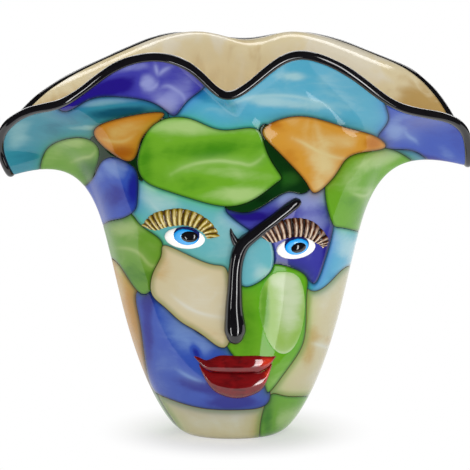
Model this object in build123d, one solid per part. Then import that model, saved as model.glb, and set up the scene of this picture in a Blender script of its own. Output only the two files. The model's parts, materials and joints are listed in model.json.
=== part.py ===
from build123d import *
import os
from math import atan2, cos, pi, radians, sin, sqrt, tan

# A face vase of cased glass. An opal cup is clad with shards of coloured glass, gripped by a black
# lip bead, and carries a face of hot-laid trails: brow and nose, two lash combs, two eyes, lips.
# The face looks along -Y, +Z is up, and the origin is the middle of the ground foot.

# Driving sizes, in millimetres
overall_width = 350.0
overall_depth = 183.0
overall_height = 295.0
shard_thickness = 2.0
lining_thickness = 2.6
lip_bead_radius = 3.4
nose_radius = 8.2
eye_width = 30.5

half_width = overall_width / 2
half_depth = overall_depth / 2
wall_thickness = shard_thickness + lining_thickness

# Body sections, each as height over overall height, then its half width and its half depth over
# those of the whole vase. The foot is an oval, and the flanks swell towards the shoulder.
body_section_shares = [
    (0.000, 0.206, 0.328),
    (0.010, 0.234, 0.372),
    (0.027, 0.263, 0.404),
    (0.061, 0.303, 0.454),
    (0.119, 0.354, 0.503),
    (0.203, 0.409, 0.557),
    (0.305, 0.460, 0.607),
    (0.390, 0.494, 0.639),
    (0.458, 0.520, 0.667),
    (0.508, 0.540, 0.683),
]
body_axis_share = -0.013
floor_section = 2

# The handkerchief rim, once round from the dip at the back: the angle at which its stave leaves
# the body, its place as shares of the half width, half depth and height, and its last slope.
rim_stations = [
    (80, 0.029, 0.962, 0.959, -10),
    (93, -0.217, 0.962, 0.976, -16),
    (107, -0.429, 0.896, 0.946, -16),
    (120, -0.611, 0.765, 0.902, -16),
    (132, -0.760, 0.601, 0.861, -14),
    (144, -0.880, 0.415, 0.810, -12),
    (160, -0.960, 0.186, 0.732, -12),
    (180, -0.943, 0.000, 0.664, -16),
    (190, -0.981, -0.142, 0.725, -10),
    (201, -0.954, -0.295, 0.793, 5),
    (213, -0.851, -0.459, 0.837, 15),
    (226, -0.726, -0.612, 0.861, 25),
    (238, -0.600, -0.743, 0.912, 38),
    (249, -0.463, -0.842, 0.969, 48),
    (260, -0.297, -0.885, 0.986, 50),
    (270, -0.160, -0.918, 0.949, 42),
    (280, -0.051, -0.962, 0.898, 30),
    (290, 0.069, -0.940, 0.919, 36),
    (300, 0.217, -0.885, 0.983, 50),
    (310, 0.354, -0.842, 0.980, 48),
    (321, 0.497, -0.765, 0.932, 38),
    (333, 0.663, -0.623, 0.858, 25),
    (344, 0.840, -0.437, 0.824, 15),
    (353, 0.960, -0.240, 0.776, 5),
    (360, 0.981, -0.033, 0.692, -12),
    (368, 0.960, 0.175, 0.722, -14),
    (377, 0.891, 0.393, 0.810, -12),
    (388, 0.766, 0.601, 0.885, -14),
    (400, 0.611, 0.765, 0.925, -16),
    (413, 0.423, 0.896, 0.963, -16),
    (427, 0.229, 0.962, 0.976, -16),
]
left_side = 7
right_side = 24
flare_steps = 8
shoulder_lean_share = 0.24
front_rise_share = 0.42
side_rise_share = 0.20
lip_reach_share = 0.45
bead_arcs = 12

# The shards are cut by slanting walls, square to an eye a little above the vase. Each outline is
# drawn in the upright plane through the axis, as shares of half width and height, and the first
# ones lie over the later ones, so the last of a side fills what is left.
sight_tilt = 9.5
shard_depth_share = 1.5
smallest_shard_share = 0.0004
run_in_share = 0.05
front_shard_shares = {
    "forehead_lime": [
        (-0.365, 0.77), (-0.29, 0.8), (-0.185, 0.8), (-0.08, 0.775), (0.02, 0.775), (0.1, 0.77),
        (0.135, 0.715), (0.19, 0.66), (0.175, 0.64), (0.085, 0.6), (-0.03, 0.58), (-0.16, 0.595),
        (-0.29, 0.62), (-0.38, 0.645), (-0.41, 0.685), (-0.4, 0.725),
    ],
    "crown_amber_right": [
        (0.115, 0.77), (0.195, 0.8), (0.32, 0.805), (0.47, 0.78), (0.59, 0.76), (0.635, 0.73),
        (0.515, 0.715), (0.45, 0.685), (0.41, 0.65), (0.34, 0.615), (0.3, 0.64), (0.235, 0.685),
        (0.16, 0.73),
    ],
    "crown_amber_left": [
        (-0.595, 0.765), (-0.495, 0.8), (-0.3, 0.815), (-0.365, 0.77), (-0.405, 0.725),
        (-0.44, 0.695), (-0.52, 0.715),
    ],
    "lobe_violet": [
        (-0.725, 0.82), (-0.75, 0.89), (-0.58, 0.98), (-0.365, 1.01), (-0.17, 0.98), (-0.105, 0.9),
        (-0.185, 0.85), (-0.235, 0.815), (-0.27, 0.81), (-0.345, 0.84), (-0.495, 0.855),
        (-0.62, 0.845),
    ],
    "tip_cobalt_right": [
        (0.605, 0.76), (0.645, 0.805), (0.64, 0.865), (0.88, 0.88), (1.095, 0.8), (1.075, 0.695),
        (0.945, 0.66), (0.835, 0.695), (0.75, 0.725), (0.645, 0.73),
    ],
    "cheek_lime_pale": [
        (0.15, 0.405), (0.215, 0.415), (0.27, 0.4), (0.295, 0.35), (0.29, 0.285), (0.26, 0.23),
        (0.21, 0.205), (0.155, 0.225), (0.115, 0.28), (0.105, 0.35),
    ],
    "nose_aqua": [
        (0.02, 0.45), (0.065, 0.495), (0.14, 0.5), (0.165, 0.445), (0.125, 0.4), (0.03, 0.38),
    ],
    "cheek_cream_left": [
        (-0.28, 0.48), (-0.105, 0.435), (-0.025, 0.4), (-0.025, 0.235), (-0.13, 0.25),
        (-0.225, 0.285), (-0.3, 0.325), (-0.355, 0.36), (-0.345, 0.415), (-0.31, 0.46),
    ],
    "temple_cobalt": [
        (-0.665, 0.605), (-0.61, 0.65), (-0.57, 0.69), (-0.515, 0.705), (-0.45, 0.69),
        (-0.41, 0.66), (-0.41, 0.605), (-0.425, 0.57), (-0.485, 0.55), (-0.55, 0.54),
        (-0.62, 0.53),
    ],
    "temple_lime_right": [
        (0.64, 0.73), (0.715, 0.715), (0.795, 0.665), (0.71, 0.595), (0.615, 0.52), (0.47, 0.525),
        (0.415, 0.535), (0.385, 0.59), (0.385, 0.655), (0.44, 0.705), (0.53, 0.735),
    ],
    "temple_lime_left": [
        (-0.645, 0.535), (-0.55, 0.555), (-0.45, 0.565), (-0.4, 0.535), (-0.32, 0.5),
        (-0.305, 0.465), (-0.32, 0.42), (-0.355, 0.37), (-0.405, 0.36), (-0.465, 0.405),
        (-0.535, 0.45), (-0.63, 0.465),
    ],
    "root_lime_left": [
        (-0.83, 0.69), (-0.775, 0.74), (-0.685, 0.755), (-0.615, 0.75), (-0.575, 0.725),
        (-0.585, 0.685), (-0.61, 0.645), (-0.665, 0.595), (-0.815, 0.595),
    ],
    "brow_forest": [
        (-0.045, 0.585), (0.07, 0.61), (0.12, 0.66), (0.095, 0.735), (0.115, 0.785), (0.18, 0.765),
        (0.25, 0.7), (0.32, 0.64), (0.28, 0.612), (0.215, 0.615), (0.115, 0.58), (0.02, 0.565),
    ],
    "root_forest_left": [
        (-0.605, 0.755), (-0.5, 0.735), (-0.42, 0.75), (-0.32, 0.805), (-0.37, 0.7),
        (-0.395, 0.645), (-0.47, 0.69), (-0.53, 0.695), (-0.615, 0.67),
    ],
    "cheek_lime": [
        (0.17, 0.435), (0.29, 0.41), (0.305, 0.355), (0.3, 0.26), (0.265, 0.2), (0.2, 0.145),
        (0.14, 0.105), (0.1, 0.15), (-0.035, 0.225), (-0.04, 0.38), (0.115, 0.42),
    ],
    "eye_violet": [
        (-0.04, 0.575), (0.115, 0.595), (0.215, 0.62), (0.265, 0.63), (0.355, 0.635), (0.42, 0.59),
        (0.41, 0.505), (0.38, 0.44), (0.34, 0.385), (0.28, 0.405), (0.17, 0.42), (0.155, 0.465),
        (0.085, 0.51),
    ],
    "jaw_cobalt": [
        (0.096, 0.145), (0.13, 0.092), (0.121, 0.081), (0.036, 0.061), (-0.175, 0.08),
        (-0.324, 0.074), (-0.351, 0.124), (-0.376, 0.197), (-0.388, 0.307), (-0.437, 0.381),
        (-0.285, 0.326), (-0.151, 0.263), (-0.082, 0.225), (0.031, 0.219),
    ],
    "side_aqua_right": [
        (0.62, 0.45), (0.5, 0.43), (0.425, 0.4), (0.34, 0.365), (0.29, 0.415), (0.37, 0.53),
        (0.47, 0.555), (0.685, 0.565),
    ],
    "side_amber_left": [
        (-0.535, 0.48), (-0.455, 0.42), (-0.41, 0.36), (-0.395, 0.26), (-0.37, 0.17),
        (-0.35, 0.115), (-0.535, 0.115), (-0.665, 0.5),
    ],
    "base_lime_right": [
        (0.135, 0.085), (0.215, 0.095), (0.365, 0.09), (0.45, 0.05), (0.28, -0.04), (0.115, -0.04),
    ],
    "side_cream_right": [
        (0.29, 0.365), (0.34, 0.4), (0.47, 0.445), (0.62, 0.465), (0.58, 0.26), (0.47, 0.075),
        (0.215, 0.09), (0.115, 0.09), (0.15, 0.125), (0.235, 0.195), (0.29, 0.26),
    ],
    "base_lime_left": [
        (-0.495, 0.12), (-0.365, 0.12), (-0.315, 0.075), (-0.245, 0.005), (-0.28, -0.04),
        (-0.45, -0.04),
    ],
    "base_cream": [
        (-0.365, 0.13), (-0.3, 0.115), (-0.15, 0.095), (0.135, 0.085), (0.14, -0.05),
        (-0.32, -0.05),
    ],
    "band_aqua_right": [
        (-0.27, 0.835), (-0.135, 0.9), (-0.02, 0.915), (0.105, 0.98), (0.41, 1.005), (0.62, 0.915),
        (0.675, 0.84), (0.645, 0.75), (0.59, 0.755), (0.47, 0.77), (0.32, 0.79), (0.195, 0.79),
        (0.115, 0.765), (0.0, 0.765), (-0.22, 0.785),
    ],
    "tip_turquoise_right": [
        (0.62, 0.745), (0.75, 0.735), (0.845, 0.705), (0.955, 0.665), (1.075, 0.695),
        (1.095, 0.605), (0.88, 0.58), (0.71, 0.63), (0.675, 0.695),
    ],
    "tip_turquoise_left": [
        (-1.095, 0.75), (-0.925, 0.865), (-0.725, 0.88), (-0.495, 0.87), (-0.32, 0.845),
        (-0.215, 0.815), (-0.32, 0.8), (-0.495, 0.79), (-0.595, 0.735), (-0.685, 0.73),
        (-0.775, 0.715), (-0.815, 0.67), (-0.835, 0.58), (-1.095, 0.58),
    ],
    "eye_aqua": [
        (-0.049, 0.374), (-0.159, 0.405), (-0.251, 0.443), (-0.338, 0.469), (-0.424, 0.529),
        (-0.447, 0.604), (-0.444, 0.68), (-0.332, 0.689), (-0.206, 0.639), (-0.056, 0.616),
        (0.054, 0.623), (0.115, 0.559), (0.124, 0.485), (0.078, 0.418), (0.005, 0.376),
    ],
}
back_shard_shares = {
    "back_heart_lime": [
        (-0.26, 0.725), (-0.15, 0.78), (0.0, 0.76), (0.115, 0.795), (0.235, 0.75), (0.245, 0.66),
        (0.14, 0.58), (0.0, 0.535), (-0.15, 0.595), (-0.245, 0.65),
    ],
    "back_lobe_cobalt_left": [
        (-0.71, 0.84), (-0.535, 0.93), (-0.32, 1.005), (-0.13, 0.955), (-0.085, 0.865),
        (-0.195, 0.805), (-0.32, 0.78), (-0.47, 0.795), (-0.6, 0.8),
    ],
    "back_lobe_amber": [
        (0.115, 0.955), (0.28, 1.035), (0.495, 0.995), (0.59, 0.905), (0.495, 0.83), (0.32, 0.81),
        (0.17, 0.825), (0.085, 0.88),
    ],
    "root_lime_left": [
        (-0.83, 0.69), (-0.75, 0.76), (-0.6, 0.8), (-0.46, 0.795), (-0.43, 0.75), (-0.515, 0.685),
        (-0.61, 0.645), (-0.665, 0.595), (-0.815, 0.595),
    ],
    "back_amber_shoulder": [
        (0.28, 0.805), (0.47, 0.825), (0.645, 0.785), (0.685, 0.73), (0.535, 0.675), (0.41, 0.65),
        (0.3, 0.685), (0.245, 0.75),
    ],
    "back_cobalt_center": [
        (0.005, 0.555), (0.15, 0.6), (0.28, 0.53), (0.3, 0.435), (0.195, 0.355), (0.02, 0.335),
        (-0.13, 0.375), (-0.195, 0.465), (-0.15, 0.605),
    ],
    "back_lime_low": [
        (-0.12, 0.385), (0.02, 0.36), (0.2, 0.375), (0.28, 0.285), (0.235, 0.17), (0.115, 0.1),
        (-0.045, 0.09), (-0.195, 0.13), (-0.27, 0.22), (-0.26, 0.335),
    ],
    "back_cream_left": [
        (-0.23, 0.33), (-0.245, 0.22), (-0.2, 0.135), (-0.3, 0.1), (-0.365, 0.115), (-0.41, 0.205),
        (-0.415, 0.36), (-0.3, 0.415), (-0.185, 0.45), (-0.13, 0.365),
    ],
    "back_aqua_left": [
        (-0.15, 0.585), (-0.17, 0.465), (-0.3, 0.41), (-0.415, 0.365), (-0.465, 0.405),
        (-0.365, 0.505), (-0.43, 0.58), (-0.53, 0.695), (-0.44, 0.81), (-0.32, 0.79),
        (-0.255, 0.725), (-0.235, 0.645),
    ],
    "temple_cobalt": [
        (-0.662, 0.607), (-0.611, 0.65), (-0.519, 0.678), (-0.46, 0.639), (-0.437, 0.573),
        (-0.494, 0.537), (-0.622, 0.532),
    ],
    "temple_lime_left": [
        (-0.645, 0.535), (-0.495, 0.54), (-0.4, 0.565), (-0.355, 0.5), (-0.41, 0.435),
        (-0.465, 0.405), (-0.535, 0.45), (-0.63, 0.465),
    ],
    "temple_lime_right": [
        (0.64, 0.73), (0.715, 0.715), (0.795, 0.665), (0.71, 0.595), (0.615, 0.52), (0.495, 0.53),
        (0.43, 0.595), (0.47, 0.665),
    ],
    "side_aqua_right": [
        (0.43, 0.51), (0.5, 0.53), (0.645, 0.555), (0.58, 0.435), (0.495, 0.425), (0.385, 0.39),
        (0.285, 0.435), (0.355, 0.49),
    ],
    "side_cream_right": [
        (0.62, 0.465), (0.58, 0.26), (0.47, 0.075), (0.215, 0.09), (0.14, 0.11), (0.235, 0.17),
        (0.2, 0.27), (0.17, 0.345), (0.27, 0.425), (0.385, 0.415), (0.47, 0.445),
    ],
    "side_amber_left": [
        (-0.415, 0.36), (-0.395, 0.205), (-0.355, 0.115), (-0.535, 0.115), (-0.665, 0.5),
        (-0.535, 0.48), (-0.455, 0.43),
    ],
    "base_lime_left": [
        (-0.28, 0.09), (-0.215, 0.05), (-0.28, -0.04), (-0.45, -0.04), (-0.495, 0.12),
        (-0.365, 0.115),
    ],
    "base_lime_right": [
        (0.364, 0.092), (0.453, 0.052), (0.279, -0.04), (0.086, -0.042), (0.135, 0.114),
        (0.218, 0.093),
    ],
    "base_cream": [
        (-0.365, 0.13), (-0.195, 0.145), (-0.045, 0.11), (0.135, 0.1), (0.14, -0.05),
        (-0.32, -0.05),
    ],
    "tip_cobalt_right": [
        (0.66, 0.94), (0.88, 0.91), (1.095, 0.805), (1.07, 0.7), (0.945, 0.655), (0.83, 0.67),
        (0.74, 0.7), (0.64, 0.745), (0.6, 0.825),
    ],
    "tip_turquoise_right": [
        (0.62, 0.745), (0.75, 0.735), (0.845, 0.705), (0.955, 0.665), (1.075, 0.695),
        (1.095, 0.605), (0.88, 0.58), (0.71, 0.63), (0.675, 0.695),
    ],
    "tip_turquoise_left": [
        (-1.095, 0.75), (-0.925, 0.905), (-0.665, 0.905), (-0.535, 0.85), (-0.6, 0.785),
        (-0.75, 0.75), (-0.815, 0.67), (-0.835, 0.58), (-1.095, 0.58),
    ],
    "back_violet_right": [
        (0.215, 0.75), (0.3, 0.725), (0.45, 0.67), (0.53, 0.595), (0.52, 0.53), (0.43, 0.49),
        (0.33, 0.465), (0.235, 0.505), (0.14, 0.565), (0.17, 0.66),
    ],
    "back_band_aqua": [
        (0.74, 0.96), (0.73, 0.765), (0.52, 0.72), (0.25, 0.7), (0.01, 0.7), (-0.22, 0.69),
        (-0.4, 0.75), (-0.21, 0.88), (-0.1, 0.975), (0.06, 1.04), (0.2, 1.03), (0.42, 1.075),
    ],
}

# The black trail: a thick nose that turns into the right brow, as places on the upright plane with
# the cane's radius over the nose's.
nose_stations = [
    (0.000, 0.240, 0.20),
    (0.000, 0.243, 0.55),
    (0.000, 0.251, 0.82),
    (0.000, 0.266, 1.00),
    (-0.002, 0.295, 0.93),
    (-0.004, 0.328, 0.80),
    (-0.002, 0.364, 0.71),
    (0.000, 0.403, 0.64),
    (0.004, 0.434, 0.64),
    (0.015, 0.465, 0.68),
    (0.034, 0.488, 0.67),
    (0.069, 0.506, 0.60),
    (0.107, 0.524, 0.55),
    (0.150, 0.543, 0.52),
    (0.193, 0.563, 0.51),
    (0.232, 0.581, 0.52),
    (0.254, 0.590, 0.48),
    (0.266, 0.595, 0.34),
    (0.271, 0.597, 0.14),
]
spur_stations = [
    (-0.018, 0.525, 0.06),
    (-0.015, 0.515, 0.16),
    (-0.005, 0.500, 0.30),
    (0.015, 0.480, 0.42),
]
nose_lift_share = 0.30

# The lash combs: bands of glass, pressed with a comb into ribs, as their upper and lower edges.
lash_combs = {
    "left": (
        [(-0.395, 0.534), (-0.365, 0.555), (-0.330, 0.567), (-0.279, 0.574), (-0.227, 0.576),
         (-0.176, 0.569), (-0.129, 0.555), (-0.090, 0.534), (-0.060, 0.506)],
        [(-0.382, 0.527), (-0.335, 0.519), (-0.305, 0.524), (-0.270, 0.529), (-0.227, 0.532),
         (-0.189, 0.529), (-0.155, 0.521), (-0.133, 0.511), (-0.120, 0.499)],
    ),
    "right": (
        [(0.103, 0.509), (0.133, 0.529), (0.176, 0.542), (0.227, 0.551), (0.275, 0.552),
         (0.322, 0.545), (0.361, 0.528), (0.395, 0.501), (0.391, 0.483)],
        [(0.124, 0.496), (0.159, 0.488), (0.193, 0.494), (0.232, 0.501), (0.275, 0.502),
         (0.309, 0.497), (0.335, 0.489), (0.356, 0.483), (0.369, 0.475)],
    ),
}
lash_ribs = 15
lash_rise = 3.6
lash_furrow_share = 0.6
swell_power = 0.5
band_end_share = 0.25
bed_points = 6
trim_gap = 0.25

# The eyes, each as the places of its white, iris and pupil. All three are flattened beads.
eyes = {
    "left": ((-0.212, 0.500), (-0.203, 0.506), (-0.199, 0.510)),
    "right": ((0.258, 0.475), (0.256, 0.481), (0.260, 0.477)),
}
eye_height_share = 0.54
iris_share = 0.67
iris_height_share = 0.45
pupil_share = 0.42
pupil_height_share = 0.31
white_rise = 3.0
iris_rise = 4.6
pupil_rise = 5.6

# The lips: two swelling bands that meet along the mouth.
mouth_line = [(-0.172, 0.196), (-0.146, 0.178), (-0.116, 0.163), (-0.069, 0.156),
              (-0.013, 0.155), (0.052, 0.155), (0.099, 0.157), (0.137, 0.168), (0.172, 0.196)]
upper_lip_edges = (
    [(-0.172, 0.200), (-0.146, 0.195), (-0.116, 0.190), (-0.069, 0.201),
     (-0.013, 0.201), (0.052, 0.201), (0.099, 0.201), (0.137, 0.199), (0.172, 0.200)],
    mouth_line,
)
lower_lip_edges = (
    [(-0.150, 0.177), (-0.129, 0.163), (-0.099, 0.155), (-0.056, 0.153),
     (0.004, 0.152), (0.064, 0.153), (0.112, 0.155), (0.137, 0.164), (0.155, 0.177)],
    [(-0.150, 0.171), (-0.129, 0.143), (-0.099, 0.115), (-0.056, 0.098),
     (0.004, 0.090), (0.064, 0.096), (0.112, 0.112), (0.137, 0.140), (0.155, 0.171)],
)
upper_lip_rise = 4.4
lower_lip_rise = 5.4
lip_sections = 10
crumb_share = 0.1
trim_bed_depth = 14.0


def stave_root(station):
    """The point of the top body section where a rim station's stave begins."""
    angle = radians(station[0])
    height_share, width_share, depth_share = body_section_shares[-1]
    x = (body_axis_share + width_share * cos(angle)) * half_width
    return Vector(x, depth_share * half_depth * sin(angle), height_share * overall_height)


def flare_point(station, t):
    """A point of a stave, a cubic arch from the body at t = 0 to the rim at t = 1."""
    angle = radians(station[0])
    slope = radians(station[4])
    root = stave_root(station)
    rim_height = station[3] * overall_height
    rim = Vector(station[1] * half_width, station[2] * half_depth, rim_height)
    reach = (rim - root).length
    spread = rim - root
    outward = Vector(spread.X, spread.Y, 0).normalized()
    lean = Vector(shoulder_lean_share * cos(angle), shoulder_lean_share * sin(angle), 1)
    rise = (front_rise_share + side_rise_share * cos(angle) ** 2) * reach
    first = root + lean.normalized() * rise
    last_way = outward * cos(slope) + Vector(0, 0, sin(slope))
    last = rim - last_way * (lip_reach_share * reach)
    s = 1 - t
    return root * s**3 + first * (3 * s * s * t) + last * (3 * s * t * t) + rim * t**3


def skin_points():
    """Rows of points on the outside of the glass, from the foot to the rim."""
    rows = []
    for height_share, width_share, depth_share in body_section_shares:
        row = []
        for station in rim_stations:
            angle = radians(station[0])
            x = (body_axis_share + width_share * cos(angle)) * half_width
            y = depth_share * half_depth * sin(angle)
            row.append(Vector(x, y, height_share * overall_height))
        rows.append(row)
    for step in range(1, flare_steps + 1):
        rows.append([flare_point(station, step / flare_steps) for station in rim_stations])
    return rows


def outward_normal(rows, r, i):
    """The direction out of the glass at one point of the skin."""
    around = rows[r][(i + 1) % len(rows[r])] - rows[r][i - 1]
    above = rows[min(r + 1, len(rows) - 1)][i]
    below = rows[max(r - 1, 0)][i]
    return around.cross(above - below).normalized()


def sunk_points(rows, depth, first_row=0):
    """The skin's rows sunk into the glass. The first row stays level, for a flat floor or foot."""
    sunk = []
    for r in range(first_row, len(rows)):
        row = []
        for i, point in enumerate(rows[r]):
            normal = outward_normal(rows, r, i)
            if r == first_row:
                normal = Vector(normal.X, normal.Y, 0).normalized()
            row.append(point - normal * depth)
        sunk.append(row)
    return sunk


def ring(points):
    """A smooth closed curve through points that are spaced alike on every ring."""
    count = len(points)
    return Edge.make_spline(points, periodic=True, parameters=[k / count for k in range(count + 1)])


def arc(points, first, last):
    """One smooth arc of a ring, between two of its points, which its other arc goes on from."""
    count = len(points)
    spans = last - first
    taken = [points[k % count] for k in range(first, last + 1)]
    ways = [(points[(k + 1) % count] - points[(k - 1) % count]) * spans / 2 for k in (first, last)]
    spread = [k / spans for k in range(spans + 1)]
    return Edge.make_spline(taken, tangents=ways, parameters=spread, scale=False)


def arcs(points):
    """A ring of the vase as its front arc and its back arc, which meet at the two sides."""
    return [arc(points, left_side, right_side), arc(points, right_side, left_side + len(points))]


def loft_faces(rows):
    """The front and the back of one smooth surface through a stack of rings."""
    return list(Shell.make_loft([Wire(arcs(row)) for row in rows], False).faces())


skin = skin_points()
opal_outside = sunk_points(skin, shard_thickness)
opal_inside = sunk_points(skin, wall_thickness, floor_section)
skin_faces = loft_faces(skin)
opal_faces = loft_faces(opal_outside)


def ruled_faces(points, others):
    """The two ruled faces, front and back, between two rings."""
    return [Face.make_surface_from_curves(*pair) for pair in zip(arcs(points), arcs(others))]


def opal_lining():
    """The opal cup: its wall, its rim and its thick ground foot."""
    foot = Face(Wire(arcs(opal_outside[0])))
    floor = Face(Wire(arcs(opal_inside[0])))
    rim = ruled_faces(opal_outside[-1], opal_inside[-1])
    return Solid(Shell([*opal_faces, *loft_faces(opal_inside), *rim, foot, floor]))


def side_edges(face):
    """The two upright edges of one half of a lofted surface: its left one and its right one."""
    edges = sorted(face.edges(), key=lambda edge: edge.center().X)
    return [edges[0], edges[-1]]


def half_coats(inner_points, inner_faces):
    """What lies between the skin and a surface under it, as its front and its back half."""
    rims = ruled_faces(skin[-1], inner_points[-1])
    feet = ruled_faces(skin[0], inner_points[0])
    halves = []
    for outer, inner, rim, foot in zip(skin_faces, inner_faces, rims, feet):
        sides = []
        for pair in zip(side_edges(outer), side_edges(inner)):
            sides.append(Face.make_surface_from_curves(*pair))
        halves.append(Solid(Shell([outer, inner, rim, foot, *sides])))
    return halves


def solids_of(shape):
    """The solids of a cut's result, which may be nothing."""
    return list(shape.solids()) if shape else []


def faces_of(shape):
    """The faces of a flat cut's result, which may be nothing."""
    return list(shape.faces()) if shape else []


def outline_face(points):
    """A shard's outline as a flat smooth-edged face in the plane through the axis."""
    places = [Vector(x * half_width, 0, z * overall_height) for x, z in points]
    return Face(Wire([ring(places)]))


def cut_shards(half_coat, outlines, toward):
    """Cuts one half of the coat into shards. Each gives way to those laid before it."""
    sight = Vector(0, toward, tan(radians(sight_tilt))) * (shard_depth_share * half_depth)
    run_in = sight * -run_in_share
    smallest = smallest_shard_share * half_width * overall_height
    shards = {}
    laid = []
    for name, points in outlines.items():
        whole = outline_face(points)
        regions = [whole]
        for other in laid:
            regions = [part for region in regions for part in faces_of(region - other)]
        laid.append(whole)
        pieces = []
        for region in regions:
            if region.area > smallest:
                prism = Solid.extrude(region.moved(Location(run_in)), sight - run_in)
                pieces += solids_of(half_coat & prism)
        shards[name] = pieces
    return shards


def seat(x_share, z_share):
    """The point of the skin that the eye sees at a place of the upright plane, and its normal."""
    sight = Vector(0, 1, -tan(radians(sight_tilt)))
    start = Vector(x_share * half_width, 0, z_share * overall_height) - sight * overall_depth
    hits = skin_faces[0].find_intersection_points(Axis(start, sight))
    point, normal = min(hits, key=lambda hit: (hit[0] - start).length)
    return point, normal if normal.dot(sight) < 0 else -normal


def proud_part(trim, bed):
    """What stands out of the glass, of a trim laid hot on the face. It is the foremost piece."""
    pieces = solids_of(trim - bed)
    least = max(piece.volume for piece in pieces) * crumb_share
    return min([p for p in pieces if p.volume > least], key=lambda piece: piece.center().Y)


def oval(middle, across, rise):
    """An oval section as two arcs, an upper and a lower one, so that lofts can't twist."""
    arcs = []
    for turn in (0, pi):
        points = []
        for k in range(5):
            angle = turn + pi * k / 4
            points.append(middle + across * cos(angle) + rise * sin(angle))
        way = rise if turn == 0 else -rise
        arcs.append(Edge.make_spline(points, tangents=[way, -way]))
    return Wire(arcs)


def round_cane(stations, lift_share):
    """A cane of round sections, laid along the face."""
    middles = []
    normals = []
    for x_share, z_share, radius_share in stations:
        point, normal = seat(x_share, z_share)
        middles.append(point + normal * (radius_share * nose_radius * lift_share))
        normals.append(normal)
    sections = []
    for k, station in enumerate(stations):
        way = middles[min(k + 1, len(middles) - 1)] - middles[max(k - 1, 0)]
        radius = station[2] * nose_radius
        across = normals[k].cross(way).normalized()
        rise = way.cross(across).normalized()
        sections.append(oval(middles[k], across * radius, rise * radius))
    return Solid.make_loft(sections, False)


def edge_curve(places):
    """One long edge of a pressed band, drawn in the upright plane."""
    return Edge.make_spline([Vector(x * half_width, 0, z * overall_height) for x, z in places])


def band_section(top, bottom, height, at_end):
    """A section of a band from its top edge to its bottom one: a bed on the glass, and a swell."""
    bed = []
    for k in range(bed_points + 1):
        place = top + (bottom - top) * (k / bed_points)
        point, normal = seat(place.X / half_width, place.Z / overall_height)
        bed.append(point + normal * trim_gap)
    middle = (bed[0] + bed[-1]) * 0.5
    across = (bed[0] - bed[-1]) * 0.5
    rise = normal * height
    swell = []
    for k in range(bed_points + 1):
        angle = pi * k / bed_points
        swell.append(middle + across * cos(angle) + rise * sin(angle))
    way = rise.normalized()
    bed_edge = Edge.make_line(bed[0], bed[-1]) if at_end else Edge.make_spline(bed)
    return Wire([bed_edge, Edge.make_spline(swell, tangents=[way, -way])])


def pressed_band(upper, lower, rise, sections, furrow_share=1.0):
    """A swelling band between two edges. A furrow share under 1 presses ribs across it."""
    above = edge_curve(upper)
    below = edge_curve(lower)
    wires = []
    for k in range(sections + 1):
        t = k / sections
        swell = band_end_share + (1 - band_end_share) * sin(pi * t) ** swell_power
        height = rise * swell * (furrow_share if k % 2 else 1.0)
        wires.append(band_section(above @ t, below @ t, height, k in (0, sections)))
    return Solid.make_loft(wires, furrow_share < 1)


def glass_dome(place, half_wide, half_high, rise):
    """A flattened bead of glass, pressed on to the face."""
    point, normal = seat(*place)
    side = Vector(1, 0, 0) - normal * normal.X
    plane = Plane(origin=point, x_dir=side.normalized(), z_dir=normal)
    return plane * scale(Sphere(1), by=(half_wide, half_high, rise))


def eye_beads(place, iris_place, pupil_place):
    """An eye of three pressed beads, white, iris and pupil, each let into the one round it."""
    half_wide = eye_width / 2
    white = glass_dome(place, half_wide, half_wide * eye_height_share, white_rise)
    iris = glass_dome(
        iris_place, half_wide * iris_share, half_wide * iris_height_share, iris_rise
    )
    pupil = glass_dome(
        pupil_place, half_wide * pupil_share, half_wide * pupil_height_share, pupil_rise
    )
    return white - iris - pupil, iris - pupil, pupil


def lip_bead():
    """The black thread laid on the rim: a round bead, flattened where it grips the wall's edge."""
    half_wall = wall_thickness / 2
    sink = sqrt(lip_bead_radius**2 - half_wall**2)
    start = -atan2(sink, half_wall)
    rings = []
    for k in range(1, bead_arcs):
        angle = start + (pi - 2 * start) * k / bead_arcs
        points = []
        for i, edge in enumerate(skin[-1]):
            normal = outward_normal(skin, len(skin) - 1, i)
            up = (edge - skin[-2][i]).normalized()
            up = (up - normal * up.dot(normal)).normalized()
            middle = edge - normal * half_wall + up * sink
            points.append(middle + (normal * cos(angle) + up * sin(angle)) * lip_bead_radius)
        rings.append(points)
    rings = [opal_outside[-1], skin[-1], *rings, opal_inside[-1], opal_outside[-1]]
    faces = []
    for pair in zip(rings, rings[1:]):
        faces += ruled_faces(*pair)
    return Solid(Shell(faces))


def save(name, shape):
    """Writes one sub-part to its own STEP file."""
    pieces = list(shape) if isinstance(shape, list) else [shape]
    whole = pieces[0]
    for piece in pieces[1:]:
        whole = whole + piece
    export_step(whole, os.path.join("parts", name + ".step"))


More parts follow.
